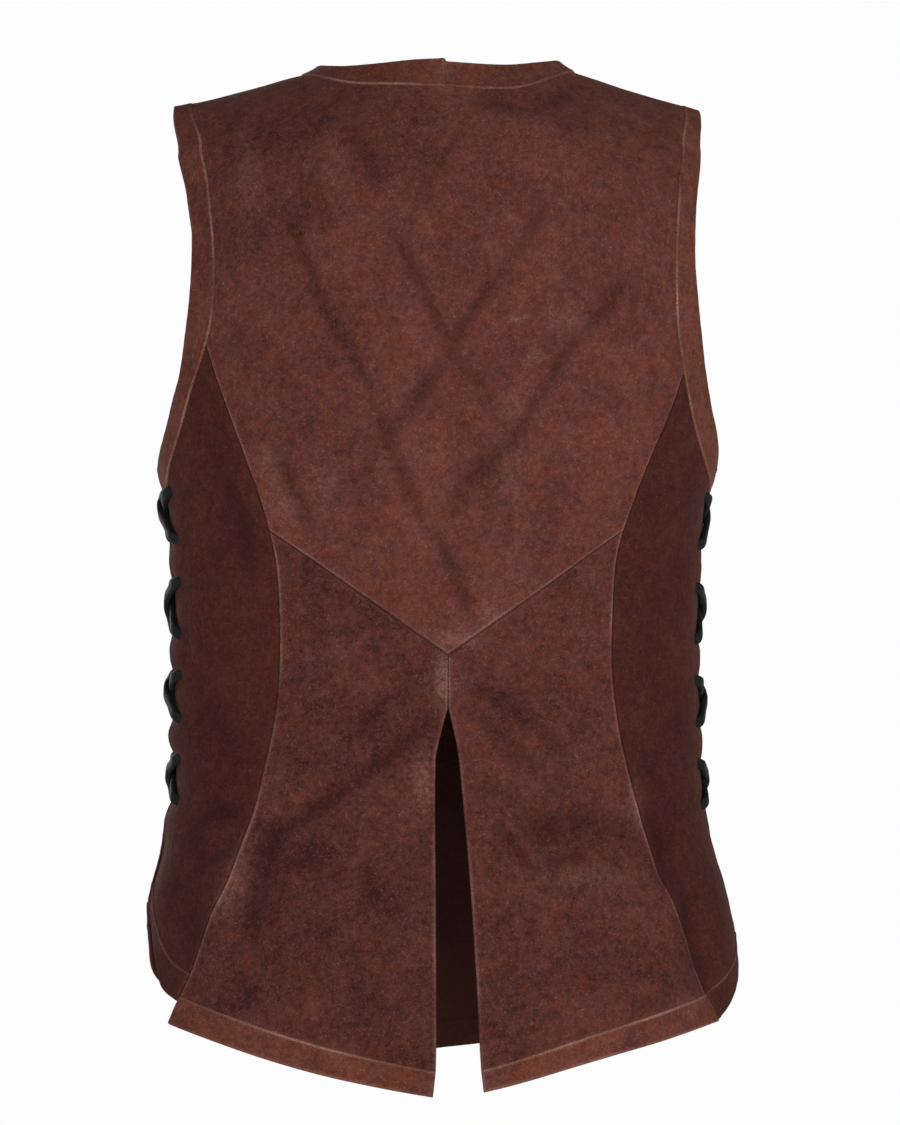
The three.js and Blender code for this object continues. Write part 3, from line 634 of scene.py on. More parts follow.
def centre_line(side):
    """From the hem band up the vent and the seam above it, to the chevron's point."""
    z = between(float(smooth(BACK_HEM, "x", side, 0)) + HEM_BAND, CHEVRON_POINT, DENSE)
    return at_width(np.where(z < VENT_TOP, smooth(VENT, "z", side, z), 0), z)


def chevron():
    z = between(CHEVRON_CORNER, CHEVRON_POINT, DENSE)
    corner = on_form(princess(CHEVRON_CORNER))[0]
    return at_width(corner * (1 - DENSE), z)


print("chevron from the corner to the point:", on_form(chevron())[[0, -1]].round(1).tolist())

# %% [markdown]
# ## A shell between four lines
# Each cut piece has four sides. Blending the four side lines over a grid, as a Coons
# patch does, places every corner of the mesh on the chart. Close to a seam the rows lie
# much closer together, so that the sewn edge can roll. A second layer, one thickness
# further in, closes the shell.

# %% Grid of a piece
NEAR_EDGE = np.array([0.05, 0.4, 0.8, 1.3, 2.0, 2.9, 4.2])  # rows beside each edge
FINER, COARSE = 8, 33  # steps of a line in each cell; lines for measuring a piece


def even(parts):
    """Lines in a row, each with its number of cells, as one line with even steps."""
    made = []
    for line, cells in parts:
        run = np.append(0, np.cumsum(np.linalg.norm(np.diff(on_form(line), axis=0), axis=1)))
        at = np.linspace(0, run[-1], cells * FINER + 1)
        new = np.stack([np.interp(at, run, line[:, k]) for k in (0, 1)], -1)
        made.append(new if not made else new[1:])
    return np.concatenate(made)


def lookup(line, share):
    """Places at a share of the way along a line."""
    place = np.clip(share, 0, 1) * (len(line) - 1)
    low = np.minimum(place.astype(int), len(line) - 2)
    part = (place - low)[..., None]
    return line[low] * (1 - part) + line[low + 1] * part


def coons(sides, s, t):
    """Places inside four side lines, s of the way across and t of the way up."""
    bottom, top, left, right = sides
    low = between(bottom[0], bottom[-1], s[..., None])
    high = between(top[0], top[-1], s[..., None])
    return (
        between(lookup(bottom, s), lookup(top, s), t[..., None])
        + between(lookup(left, t), lookup(right, t), s[..., None])
        - between(low, high, t[..., None])
    )


def spread(cells, lengths, shortest):
    """Shares across a piece for each length: close rows at both ends, even ones between."""
    skip = int(np.ceil((NEAR_EDGE[-1] + 1) * cells / shortest))
    inner = np.arange(skip, cells - skip + 1) / cells
    near = NEAR_EDGE / lengths[:, None]
    middle = np.broadcast_to(inner, (len(lengths), len(inner)))
    return np.concatenate([near, middle, 1 - near[:, ::-1]], axis=1)


def grid_of(bottom, top, left, right):
    """Chart points of a piece, and each one's distance to its four edges in mm."""
    across, up = sum(c for _, c in bottom), sum(c for _, c in left)
    sides = [even(parts) for parts in (bottom, top, left, right)]
    even_share = np.linspace(0, 1, COARSE)
    coarse = on_form(coons(sides, *np.meshgrid(even_share, even_share)))
    widths = np.linalg.norm(np.diff(coarse, axis=1), axis=2).sum(1)
    heights = np.linalg.norm(np.diff(coarse, axis=0), axis=2).sum(0)
    nominal_t = spread(up, heights.mean(keepdims=True), heights.min())[0]
    nominal_s = spread(across, widths.mean(keepdims=True), widths.min())[0]
    wide = np.interp(nominal_t, even_share, widths)
    high = np.interp(nominal_s, even_share, heights)
    s, t = spread(across, wide, widths.min()), spread(up, high, heights.min()).T
    distance = {
        "left": s * wide[:, None], "right": (1 - s) * wide[:, None],
        "bottom": t * high, "top": (1 - t) * high,
    }
    share = {"left": t, "right": t, "bottom": s, "top": s}
    chart = coons(sides, s, t)
    chart[-1] = lookup(sides[1], s[-1])  # so that front and back meet on the shoulder line
    return chart, distance, share, (widths.max(), heights.max())


print("rows close to each edge, in mm:", NEAR_EDGE.tolist())

# %% [markdown]
# ## How an edge is finished
# A seam that is sewn and turned dives into a groove, and the suede rolls up beside it.
# The roll is what hands and chairs rub, so its nap wears off and shows lighter. A free
# edge is turned under, which rounds it. "low" is the lower side of a seam, "plain" runs
# under a band, "lapped" is a band's sewn edge and "joined" is where two bands meet.
# Three attributes hold this for the material: wear, groove, which darkens the seam's
# groove as painted shade, and inside.

# %% Edge finishes
EDGE_FINISH = {  # outer and inner: how far each face rounds over, as a share of the thickness
    "seam": dict(roll=0.7, at=2.0, groove=0.8, outer=0, inner=0, wear=0.8, worn=1.3),
    "low": dict(roll=0.2, at=2.0, groove=0.8, outer=0, inner=0, wear=0.1, worn=1.0),
    "plain": dict(roll=0.1, at=2.0, groove=0.2, outer=0, inner=0, wear=0.1, worn=0.8),
    "joined": dict(roll=0.3, at=1.4, groove=0.35, outer=0, inner=0, wear=0.5, worn=0.8),
    "lapped": dict(roll=0.2, at=1.2, groove=0, outer=0.27, inner=0, wear=0.8, worn=0.6),
    "turned": dict(roll=0.3, at=2.0, groove=0, outer=0.5, inner=0.5, wear=0.4, worn=0.9),
}
WORN_BELOW = -430  # the seams of the skirts are rubbed more than those above
CHANGE = 0.012  # over what share of an edge one finish becomes another


def finish_at(name, share):
    """An edge's finish; (first, change, second) changes it part of the way along."""
    if isinstance(name, str):
        return EDGE_FINISH[name]
    first, change, second = name
    step = np.clip((share - change) / CHANGE + 0.5, 0, 1)
    low, high = EDGE_FINISH[first], EDGE_FINISH[second]
    return {name: between(low[name], high[name], step) for name in low}


def rounded_off(distance, radius):
    """How far a quarter round sinks beside an edge."""
    return radius - np.sqrt(np.maximum(0, radius**2 - np.maximum(0, radius - distance) ** 2))


def edge_relief(distance, finish, thickness, points):
    """Offsets of the outer and the inner face near one edge, its wear, and the painted shade in its
    groove.
    """
    x, z = points[..., 0], points[..., 2]
    # Long and short waves make the roll and the wear come and go along an edge.
    uneven = 1 + 0.35 * np.sin(z / 5.3 + x / 7.1) + 0.3 * np.sin(z / 1.7 - x / 1.3)
    roll = finish["roll"] * uneven * np.exp(-(((distance - finish["at"]) / 1.5) ** 2))
    outer = roll - finish["groove"] * np.exp(-((distance / 0.8) ** 2))
    outer = outer - rounded_off(distance, finish["outer"] * thickness)
    inner = rounded_off(distance, finish["inner"] * thickness)
    faded = 0.6 + 0.25 * np.sin(z / 23 + x / 31) + 0.3 * np.sin(z / 9.1 - x / 12.7)
    faded = faded + 0.25 * np.clip((WORN_BELOW - z) / 60, 0, 1)
    worn = np.exp(-(((distance - finish["worn"]) / finish["worn"]) ** 2))
    wear = finish["wear"] * faded * (0.7 + 0.3 * uneven) * worn
    return outer, inner, wear, finish["groove"] * np.exp(-((distance / 0.7) ** 2))


print("edge finishes:", ", ".join(EDGE_FINISH))

# %% [markdown]
# ## Stains, rubbed places and painted fold light
# Old suede is darker where sweat and hands have pressed the nap down, and lighter where
# it is rubbed away. Some of the dark marks are painted shade in fold troughs and beside
# seams, and some of the light ones are painted highlights on fold ridges. Each row is one
# soft oval mark on the back, in millimetres, with its strength. The material reads their
# sum from an attribute.

# %% Stains, scuffs and painted fold light
STAINS_AND_SHADE = table(  # darker patches: stains that handling leaves in the nap, and painted shade in fold troughs and beside seams
    "x z wide high strength",
    (84, -492, 16, 13, 0.4),
    (108, -486, 6, 14, 0.45),
    (46, -518, 14, 8, 0.4),
    (82, -350, 6, 18, 0.12),
    (126, -577, 8, 10, 0.3),
    (-80, -484, 50, 15, 0.3),
    (-137, -572, 16, 9, 0.4),
    (-46, -573, 10, 16, 0.25),
    (118, -70, 60, 90, 0.35),
    (40, -40, 90, 40, 0.15),
    (92, -195, 50, 56, 0.22),
    (16, -202, 6, 7, 0.4),
    (-26, -266, 14, 24, 0.35),
    (-30, -190, 20, 16, 0.15),
    (-82, -105, 24, 20, 0.15),
    (60, -262, 34, 26, 0.15),
    (138, -468, 12, 6, 0.5),
    (160, -545, 8, 20, 0.4),
    (-132, -490, 8, 24, 0.3),
    (-152, -540, 6, 26, 0.3),
)
SCUFFS_AND_HIGHLIGHTS = table(  # lighter patches: places where the nap is rubbed away, and painted highlights on fold ridges
    "x z wide high strength",
    (-7, -358, 12, 5, 0.5),
    (4, -385, 4, 16, 0.6),
    (16, -449, 6, 18, 0.4),
    (134, -500, 8, 20, 0.35),
    (142, -520, 8, 16, 0.25),
    (-119, -462, 5, 16, 0.3),
    (-42, -161, 7, 2.4, 0.45),
    (-73, -160, 12, 6, 0.3),
    (-54, -184, 7, 3, 0.3),
    (-38, -217, 10, 8, 0.2),
    (-38, -260, 9, 16, 0.2),
    (38, -246, 20, 6, 0.15),
    (72, -262, 10, 12, 0.2),
    (110, -250, 7, 12, 0.25),
    (100, -278, 10, 10, 0.2),
    (-26, -342, 6, 5, 0.4),
    (-88, -507, 26, 7, 0.2),
    (70, -66, 7, 20, 0.15),
    (124, -64, 7, 36, 0.15),
)


def marks(points, rows):
    """Soft oval marks on the back, added up."""
    total = 0
    for x, z, wide, high, strength in zip(*rows.values()):
        aside, up = (points[..., 0] - x) / wide, (points[..., 2] - z) / high
        total = total + strength * np.exp(-(aside**2) - up**2)
    return total * (points[..., 1] > 0)


print("stains:", len(STAINS_AND_SHADE["x"]), " scuffs:", len(SCUFFS_AND_HIGHLIGHTS["x"]))

# %% [markdown]
# ## The closed shell
# The grid's points are lifted off the form by folds, rumple and edge relief, once for the
# outer face and once for the inner one. A wall round the rim closes the two, because
# suede has a thickness that shows at every edge. What the material needs to know about a
# place is painted on its corners.

# %% Closed shell from a grid
PANEL, BAND = 1.7, 2.6  # thickness of one layer turned at its edges, and of a folded band
THINNEST = 0.25  # what is left of a layer where its edges are rounded off
LAP = 1.3  # how far a band laps over the edge that it is sewn to, in rows of its grid
SHARP = math.radians(55)  # steeper edges than this are shaded as corners


def paint(mesh, label, values):
    """Stores a number, or a direction, at every corner of a mesh."""
    kind, field = ("FLOAT", "value") if np.ndim(values) == 1 else ("FLOAT_VECTOR", "vector")
    layer = mesh.attributes.new(label, kind, "POINT")
    layer.data.foreach_set(field, np.asarray(values, np.float32).ravel())


def closed_mesh(name, outside, inside, normals):
    """Two grids of points as one mesh, with a wall round the rim."""
    rows, columns = outside.shape[:2]
    layer = rows * columns
    at = np.arange(layer).reshape(rows, columns)
    corners = [at[:-1, :-1], at[:-1, 1:], at[1:, 1:], at[1:, :-1]]
    cells = np.stack(corners, -1).reshape(-1, 4)
    rim = np.concatenate([at[0, :-1], at[:-1, -1], at[-1, :0:-1], at[:0:-1, 0]])
    after = np.roll(rim, -1)
    wall = np.stack([after, rim, rim + layer, after + layer], -1)
    faces = np.concatenate([cells, cells[:, ::-1] + layer, wall])
    r, c = rows // 2, columns // 2
    cross = np.cross(outside[r, c + 1] - outside[r, c], outside[r + 1, c] - outside[r, c])
    if cross @ normals[r, c] < 0:  # turned over, so that the faces look outwards
        faces = faces[:, ::-1]
    mesh = bpy.data.meshes.new(name)
    points = np.stack([outside, inside]).reshape(-1, 3)
    mesh.from_pydata((points * MM).tolist(), [], faces.tolist())
    mesh.polygons.foreach_set("use_smooth", np.ones(len(faces), bool))
    mesh.set_sharp_from_angle(angle=SHARP)
    return mesh


def shell(name, sides, finishes, thickness, lift=0.0, tone=0.0):
    """One cut piece; tone makes its suede a little lighter or darker than its neighbours."""
    chart, distance, share, size = grid_of(*sides)
    if lift:
        chart[0] = chart[0] + LAP * (chart[0] - chart[1])
    points = on_form(chart)
    normals = outwards(points)
    outer = lift + relief_at(points)
    inner = outer - thickness
    wear, groove = 0, 0
    for edge, finish in zip(("bottom", "top", "left", "right"), finishes):
        finish = finish_at(finish, share[edge])
        out, inn, worn, deep = edge_relief(distance[edge], finish, thickness, points)
        outer, inner = outer + out, inner + inn
        wear, groove = np.maximum(wear, worn), np.maximum(groove, deep)
    inner = np.minimum(inner, outer - THINNEST)
    points = points + lean(points)[..., None] * (0, 0, 1)
    outside, inside = (points + normals * height[..., None] for height in (outer, inner))
    mesh = closed_mesh(name, outside, inside, normals)
    # painted shade and light: creases and seam grooves are darkened, some stain marks darken folds,
    # some scuffs lighten fold ridges
    on_outside = {
        "wear": wear, "groove": groove, "pressed": np.tanh(-fold_height(points, CREASES)),
        "stain": marks(points, STAINS_AND_SHADE), "scuff": marks(points, SCUFFS_AND_HIGHLIGHTS),
    }
    none = np.zeros(outer.size)
    for label, values in on_outside.items():
        paint(mesh, label, np.append(values, none))
    paint(mesh, "inside", np.append(none, none + 1))
    paint(mesh, "tone", np.full(2 * outer.size, tone))
    piece = add_object(name, mesh)
    piece["cut"] = [float(side) * MM for side in size]
    return piece


print("thicknesses in mm:", PANEL, BAND)

# %% [markdown]
# ## Nodes from one small function
# Materials and Geometry Nodes are both trees of nodes. One helper adds a node, sets its
# properties and feeds its inputs, either with a value or with another node's output.

# %% Add a node
def empty_tree(owner):
    """Turns on the nodes of a material or a world, and clears them."""
    owner.use_nodes = True
    owner.node_tree.nodes.clear()
    return owner.node_tree


def add(tree, kind, inputs=None, **settings):
    made = tree.nodes.new(kind)
    for name, value in settings.items():
        setattr(made, name, value)
    for name, value in (inputs or {}).items():
        if isinstance(value, bpy.types.NodeSocket):
            tree.links.new(value, made.inputs[name])
        else:
            made.inputs[name].default_value = value
    return made


def linear(code, alpha=1.0):
    """A colour given as sRGB hex, in the linear values that Blender works with."""
    parts = [int(code[k : k + 2], 16) / 255 for k in (1, 3, 5)]
    return (*(p / 12.92 if p <= 0.04045 else ((p + 0.055) / 1.055) ** 2.4 for p in parts), alpha)


def ramp(tree, factor, *stops):
    """A colour that runs from one stop to the other, each a position and a colour."""
    made = add(tree, "ShaderNodeValToRGB", {"Fac": factor})
    for element, (position, code) in zip(made.color_ramp.elements, stops):
        element.position, element.color = position, linear(code)
    return made.outputs["Color"]


print("linear value of mid grey:", round(linear("#808080")[0], 3))

# %% [markdown]
# ## Suede
# Suede is the flesh side of a hide, sanded until its fibres stand up as a short nap. The
# nap scatters light, so it has no gloss, only a faint sheen at grazing angles, and it
# lies in patches of slightly different tone. Dye takes unevenly, loose fibres catch the
# light as pale specks, and rubbed ridges show the paler core.
# Noise at four real sizes gives this: patches of 42 mm, clouds of 10 mm, nap of 3.6 mm
# and grain of 1.2 mm. Real nap is finer still, too fine to show at this distance. A
# fifth noise turns the brown a little redder in places and a little greyer in others.
# Painted shade darkens the creases and the seam grooves. Some painted marks darken fold
# troughs, and others lighten fold ridges as painted highlights.

# %% Suede material
PATCH_MM, CLOUD_MM, NAP_MM, GRAIN_MM, TINT_MM = 42, 10, 3.6, 1.2, 13
COOLER, REDDER = (0.94, 1.03, 1.18, 1.0), (1.06, 0.95, 0.82, 1.0)  # factors for the dye
# browns of the painted shade in the creases and the seam grooves, and of the inner faces
CREASE_SHADE_BROWN, GROOVE_SHADE_BROWN, INSIDE_BROWN = "#2c1512", "#311612", "#3a1e18"


def suede(name, deep, middle, pale, worn):
    """The dye's three tones from deep to pale, and the paler core under worn nap, which also
    colours the pale fibres and the painted highlights on fold ridges.
    """
    material = bpy.data.materials.new(name)
    tree = empty_tree(material)
    place = add(tree, "ShaderNodeTexCoord").outputs["Object"]

    def noise(size_mm, detail, rough=0.55, bend=0.0):
        inputs = {"Vector": place, "Scale": 1000 / size_mm, "Detail": detail}
        inputs.update({"Roughness": rough, "Distortion": bend})
        return add(tree, "ShaderNodeTexNoise", inputs).outputs["Fac"]

    def stretch(value, low, high, to_low=0.0, to_high=1.0):
        inputs = {"Value": value, "From Min": low, "From Max": high}
        inputs.update({"To Min": to_low, "To Max": to_high})
        return add(tree, "ShaderNodeMapRange", inputs).outputs["Result"]

    def blend(share, one, two, kind="MIX"):
        inputs = {0: share, 6: one, 7: two}
        return add(tree, "ShaderNodeMix", inputs, data_type="RGBA", blend_type=kind).outputs[2]

    def times(one, two, clamp=False):
        settings = dict(operation="MULTIPLY", use_clamp=clamp)
        return add(tree, "ShaderNodeMath", {0: one, 1: two}, **settings).outputs[0]

    def plus(total, value, weight, clamp=False):
        settings = dict(operation="MULTIPLY_ADD", use_clamp=clamp)
        return add(tree, "ShaderNodeMath", {0: value, 1: weight, 2: total}, **settings).outputs[0]

    def painted(label):
        return add(tree, "ShaderNodeAttribute", attribute_name=label).outputs["Fac"]

    patches = stretch(noise(PATCH_MM, 2.0), 0.35, 0.65)
    clouds = stretch(noise(CLOUD_MM, 3.0, 0.6, 0.3), 0.3, 0.7)
    nap = stretch(noise(NAP_MM, 3.0, 0.62), 0.3, 0.7)
    grain = noise(GRAIN_MM, 2.0, 0.7)
    fibres = stretch(grain, 0.3, 0.7)
    tone = painted("tone")
    for layer, weight in (patches, 0.2), (clouds, 0.26), (nap, 0.4), (fibres, 0.34):
        tone = plus(tone, layer, weight)
    # painted shade: the creases, and the fold marks among the stains, darken the dye
    dark = plus(painted("stain"), painted("pressed"), 0.3)
    tone = plus(tone, dark, -0.5, clamp=True)
    colour = blend(stretch(tone, 0.0, 0.55), linear(deep), linear(middle))
    colour = blend(stretch(tone, 0.55, 1.1), colour, linear(pale))
    colour = blend(times(stretch(grain, 0.62, 0.76), 0.3), colour, linear(worn))  # pale fibres
    tint = blend(stretch(noise(TINT_MM, 4.0, 0.7, 0.4), 0.36, 0.64), COOLER, REDDER)
    colour = blend(1.0, colour, tint, "MULTIPLY")
    # the paler core shows where the nap is worn or scuffed; some scuff marks are painted highlights
    # on fold ridges
    rubbed_and_highlit = plus(painted("wear"), painted("scuff"), stretch(nap, 0.0, 0.7, 0.35))
    rubbed_and_highlit = times(rubbed_and_highlit, stretch(grain, 0.35, 0.6, 0.45), clamp=True)
    colour = blend(times(rubbed_and_highlit, 0.6), colour, linear(worn))
    # painted shade darkens the creases and the seam grooves; the inner faces are darker
    for label, weight, code in (
        ("pressed", 0.5, CREASE_SHADE_BROWN),
        ("groove", 0.55, GROOVE_SHADE_BROWN),
        ("inside", 0.85, INSIDE_BROWN),
    ):
        colour = blend(times(painted(label), weight, clamp=True), colour, linear(code))
    height = plus(plus(times(nap, 0.6), grain, 0.45), clouds, 0.5)
    bump = add(tree, "ShaderNodeBump", {"Height": height, "Strength": 0.6, "Distance": 0.0007})
    shader = add(
        tree, "ShaderNodeBsdfPrincipled",
        {
            "Base Color": colour, "Roughness": 0.95, "Specular IOR Level": 0.12,
            "Normal": bump.outputs[0],
            "Sheen Weight": 0.06, "Sheen Roughness": 0.5, "Sheen Tint": linear("#c08a78"),
        },
    )
    add(tree, "ShaderNodeOutputMaterial", {"Surface": shader.outputs[0]})
    return material


MAIN_SUEDE = suede("brown_suede", "#351916", "#582f28", "#704336", "#a07a6f")  # yoke, skirts, front
DARK_SUEDE = suede("dark_brown_suede", "#250d0c", "#3d1b16", "#51291f", "#7f564a")  # side backs
BAND_SUEDE = suede("binding_suede", "#371a16", "#5a3027", "#734434", "#a58073")  # folded strips
print("suedes:", MAIN_SUEDE.name, DARK_SUEDE.name, BAND_SUEDE.name)

# %% [markdown]
# ## The cut pieces
# Each piece is given as its bottom, top, left and right lines, every line with its number
# of cells. Lines that two pieces share are drawn by the same function. First the seams
# that need both a part of the body and a side are drawn once for all pieces.

# %% Seams of both sides
def flip(line):
    return line[::-1]


def for_side(side, parts):
    """The same lines on the wearer's right: turned over the centre line."""
    if side == "left":
        return parts
    return [[(mirrored(line), cells) for line, cells in edge] for edge in parts]


lines = {}
for side in ("left", "right"):
    own = {
        (face, part): armhole(part, 1 if face == "back" else -1, side)
        for face in ("back", "front") for part in ("seam", "edge")
    }
    to_top = princess(between(CHEVRON_CORNER, PRINCESS_TOP[side], DENSE))
    own["princess"] = moved_to(to_top, end=own["back", "seam"][1][0])
    lines[side] = own
print("seams drawn for each side:", len(lines["left"]))

# %% [markdown]
# ## The back yoke
# One piece covers both shoulders and ends in the chevron, cut so that no seam crosses
# the shoulder blades. Its sides are princess seams first and armholes above.

# %% Back yoke
SEAM_CELLS, ARMHOLE_CELLS = 52, 84  # of the yoke's sides, below and above the underarm
SEAM_SHARE = SEAM_CELLS / (SEAM_CELLS + ARMHOLE_CELLS)
point = chevron()
yoke_sides = [
    [(own["princess"], SEAM_CELLS), (own["back", "seam"][1], ARMHOLE_CELLS)]
    for own in lines.values()
]
back_yoke = shell(
    "yoke",
    (
        [(point, 64), (flip(mirrored(point)), 64)],
        [
            (shoulder(1), 28),
            (back_neck("seam", NECK_HALF), 72),
            (flip(mirrored(shoulder(1))), 28),
        ],
        yoke_sides[0],
        [(mirrored(line), cells) for line, cells in yoke_sides[1]],
    ),
    ("seam", "plain", ("seam", SEAM_SHARE, "plain"), ("seam", SEAM_SHARE, "plain")),
    PANEL,
    tone=-0.05,
)
pieces = {"back_yoke": back_yoke}
print("yoke faces:", len(back_yoke.data.polygons))

# %% [markdown]
# ## Skirts and side backs
# The back skirts hang from the chevron and spread at the vent. The side backs reach from
# the princess seam to the laced edge. They come from a darker part of the hide, and no
# two pieces of a hide have quite the same tone.

# %% Skirts and side backs
SKIRT_TONE = {"left": -0.3, "right": -0.22}
for side in ("left", "right"):
    foot = back_hem(side, HEM_BAND)
    vent_side = centre_line(side)
    foot = moved_to(foot, end=vent_side[0])
    seam = princess(between(foot[0, 1], CHEVRON_CORNER, DENSE))
    pieces["back_skirt_" + side] = shell(
        "skirt_" + side,
        for_side(side, ([(foot, 60)], [(point, 60)], [(seam, 124)], [(vent_side, 124)])),
        ("plain", "low", "seam", "turned"),
        PANEL,
        tone=SKIRT_TONE[side],
    )
    foot = side_hem(side, HEM_BAND)
    princess_low = princess(between(foot[0, 1], CHEVRON_CORNER, DENSE))
    princess_high = lines[side]["princess"]
    seam = [(princess_low, 116), (princess_high, 40)]
    edge = laced(1, foot[-1, 1], UNDERARM_SEAM)
    top = moved_to(flip(lines[side]["back", "seam"][0]), princess_high[-1], edge[-1])
    pieces["side_back_" + side] = shell(
        "side_back_panel_" + side,
        for_side(side, ([(foot, 40)], [(top, 40)], seam, [(edge, 156)])),
        ("plain", "plain", "low", "turned"),
        PANEL,
    )
print({name: len(piece.data.polygons) for name, piece in pieces.items()})

# %% [markdown]
# ## The front
# The front is one piece from shoulder to hem, laced to both side backs, so its sides are
# free below the underarm and bound above it.

# %% Front panel
LACED_CELLS, LOW_CELLS, HIGH_CELLS = 104, 36, 74  # up one side of the front
LACED_SHARE = LACED_CELLS / (LACED_CELLS + LOW_CELLS + HIGH_CELLS)
foot = front_hem(HEM_BAND)
front_sides = []
for own in lines.values():
    low, high = own["front", "seam"]
    edge = laced(-1, foot[0, 1], UNDERARM_SEAM)
    front_sides.append([(edge, LACED_CELLS), (low, LOW_CELLS), (high, HIGH_CELLS)])
pieces["front"] = shell(
    "front_panel",
    (
        [(foot, 132)],
        [
            (shoulder(-1), 26),
            (front_neck(NECK_HALF, NECK_DROP + NECK_BAND), 80),
            (flip(mirrored(shoulder(-1), -1)), 26),
        ],
        front_sides[0],
        [(mirrored(line, -1), cells) for line, cells in front_sides[1]],
    ),
    ("plain", "plain", ("turned", LACED_SHARE, "plain"), ("turned", LACED_SHARE, "plain")),
    PANEL,
)
print("front faces:", len(pieces["front"].data.polygons))

# %% [markdown]
# ## Bands
# The neck, the armholes and the hems are bound with strips of the same suede, folded
# double and sewn on. A band stands a little proud of the panel, and its folded edge is
# round. The neck band is joined at the centre back and the centre front.

# %% Bands
LIFT = 0.6  # how far a band stands off the panel
TOUCH = 0.001  # how far each half of the neck band turns past the centre, so that they meet


def band(name, edges, across, ends=("turned", "turned")):
    """A strip between its sewn edge and its folded edge."""
    start = np.stack([edge[0][0][0] for edge in edges])
    finish = np.stack([edge[-1][0][-1] for edge in edges])
    sides = (*edges, [(start, across)], [(finish, across)])
    return shell(name, sides, ("lapped", "turned", *ends), BAND, LIFT)


def own_half(line, side, face):
    """The half of a neckline that belongs to one side, laid out on the wearer's left."""
    whole = line if side == "left" else mirrored(flip(line), face)
    half = np.array(whole[: len(DENSE) // 2 + 1])
    half[-1, 0] = -TOUCH if face > 0 else np.pi + TOUCH
    return half


def neck_edge(side, part):
    """Round one half of the neck, from the centre back to the centre front."""
    if part == "seam":
        back, front = back_neck(part, NECK_HALF), front_neck(NECK_HALF, NECK_DROP + NECK_BAND)
    else:
        back, front = back_neck(part, NECK_EDGE_HALF), front_neck(NECK_EDGE_HALF, NECK_DROP)
    return [(flip(own_half(back, side, 1)), 44), (own_half(front, side, -1), 88)]


def armhole_edge(side, part):
    """Round one armhole, from the back underarm over the shoulder to the front one."""
    own = lines[side]
    (back_low, back_high), (front_low, front_high) = own["back", part], own["front", part]
    return [(back_low, 36), (back_high, 84), (flip(front_high), 84), (flip(front_low), 36)]


def back_hem_edge(side, part):
    if part == "seam":
        return [(moved_to(back_hem(side, HEM_BAND), end=centre_line(side)[0]), 70)]
    return [(back_hem(side, 0), 70)]


def side_hem_edge(side, part):
    return [(side_hem(side, HEM_BAND if part == "seam" else 0), 40)]


BANDS = (  # node, name of the piece, its edges, cells across, how its ends are finished
    ("neck_band_", "neck_binding_", neck_edge, 9, ("joined", "joined")),
    ("armhole_band_", "armhole_binding_", armhole_edge, 9, ("turned", "turned")),
    ("hem_band_back_", "skirt_hem_", back_hem_edge, 10, ("turned", "turned")),
    ("hem_band_side_", "side_hem_", side_hem_edge, 10, ("turned", "turned")),
)
for side in ("left", "right"):
    for node_name, name, edge_of, across, ends in BANDS:
        edges = for_side(side, [edge_of(side, part) for part in ("seam", "edge")])
        pieces[node_name + side] = band(name + side, edges, across, ends)
front_edges = [[(front_hem(raised), 180)] for raised in (HEM_BAND, 0)]
pieces["hem_band_front"] = band("front_hem", front_edges, 10)
print("bands:", sum(1 for name in pieces if "band" in name))

# %% [markdown]
# ## Lacing
# A flat black thong zigzags up one side, crosses inside at the top and zigzags down
# again, so that it makes four crosses outside. Each cross draws the two edges in.
# Its path is a short list of places beside the side line, given as [from the side line,
# height, lift above the suede], with the way that the thong's flat face looks there.

# %% Lace path
HOLE_ASIDE, HOLE_RADIUS = 29.0, 3.5
LACE_WIDTH, LACE_THICKNESS, LACE_STEP = 6.8, 4.0, 1.1
LACE_UNDER, LACE_OVER = 5.2, 2.1  # depth of the runs inside, height of those outside
SIDE_LINE = 0.01  # just behind the line where the back and the front of the form meet


def beside(side, face, y, z, lift, looks="out"):
    """A place beside a side line, and the direction that the lace's flat face looks."""
    chart = at_side(abs(y), z, face)
    points = on_form(chart if side == "left" else mirrored(chart))
    out = outwards(points)
    back = on_form(at_side(abs(y) + 1, z, face) * (1 if side == "left" else -1, 1)) - points
    look = {"out": out, "away": back / np.linalg.norm(back), "in": -out}[looks]
    return np.concatenate([points + out * (lift + relief_at(points)), look])


def through_hole(run):
    """From the inside out: from the side line, height, lift, and where the lace looks."""
    return [
        (HOLE_ASIDE + 2, 6 * run, -LACE_UNDER, "in"),
        (HOLE_ASIDE + 0.6, 1.6 * run, 0.8 - LACE_UNDER, "in"),
        (HOLE_ASIDE + 0.6, 0, -2.6, "away"),
        (HOLE_ASIDE + 0.4, 0, -0.8, "away"),
        (HOLE_ASIDE - 0.6, 0, 0.5, "away"),
        (HOLE_ASIDE - 4.4, 0, LACE_OVER, "out"),
        (HOLE_ASIDE - 9, 0, LACE_OVER + 0.1, "out"),
    ]


print("hole:", 2 * HOLE_RADIUS, "mm across, lace:", LACE_WIDTH, "x", LACE_THICKNESS, "mm")

# %% [markdown]
# A crossing leaves one hole, lies on the suede up to its edge, stands out over the open
# side and comes down to the hole across from it. The run back lies over the run out.

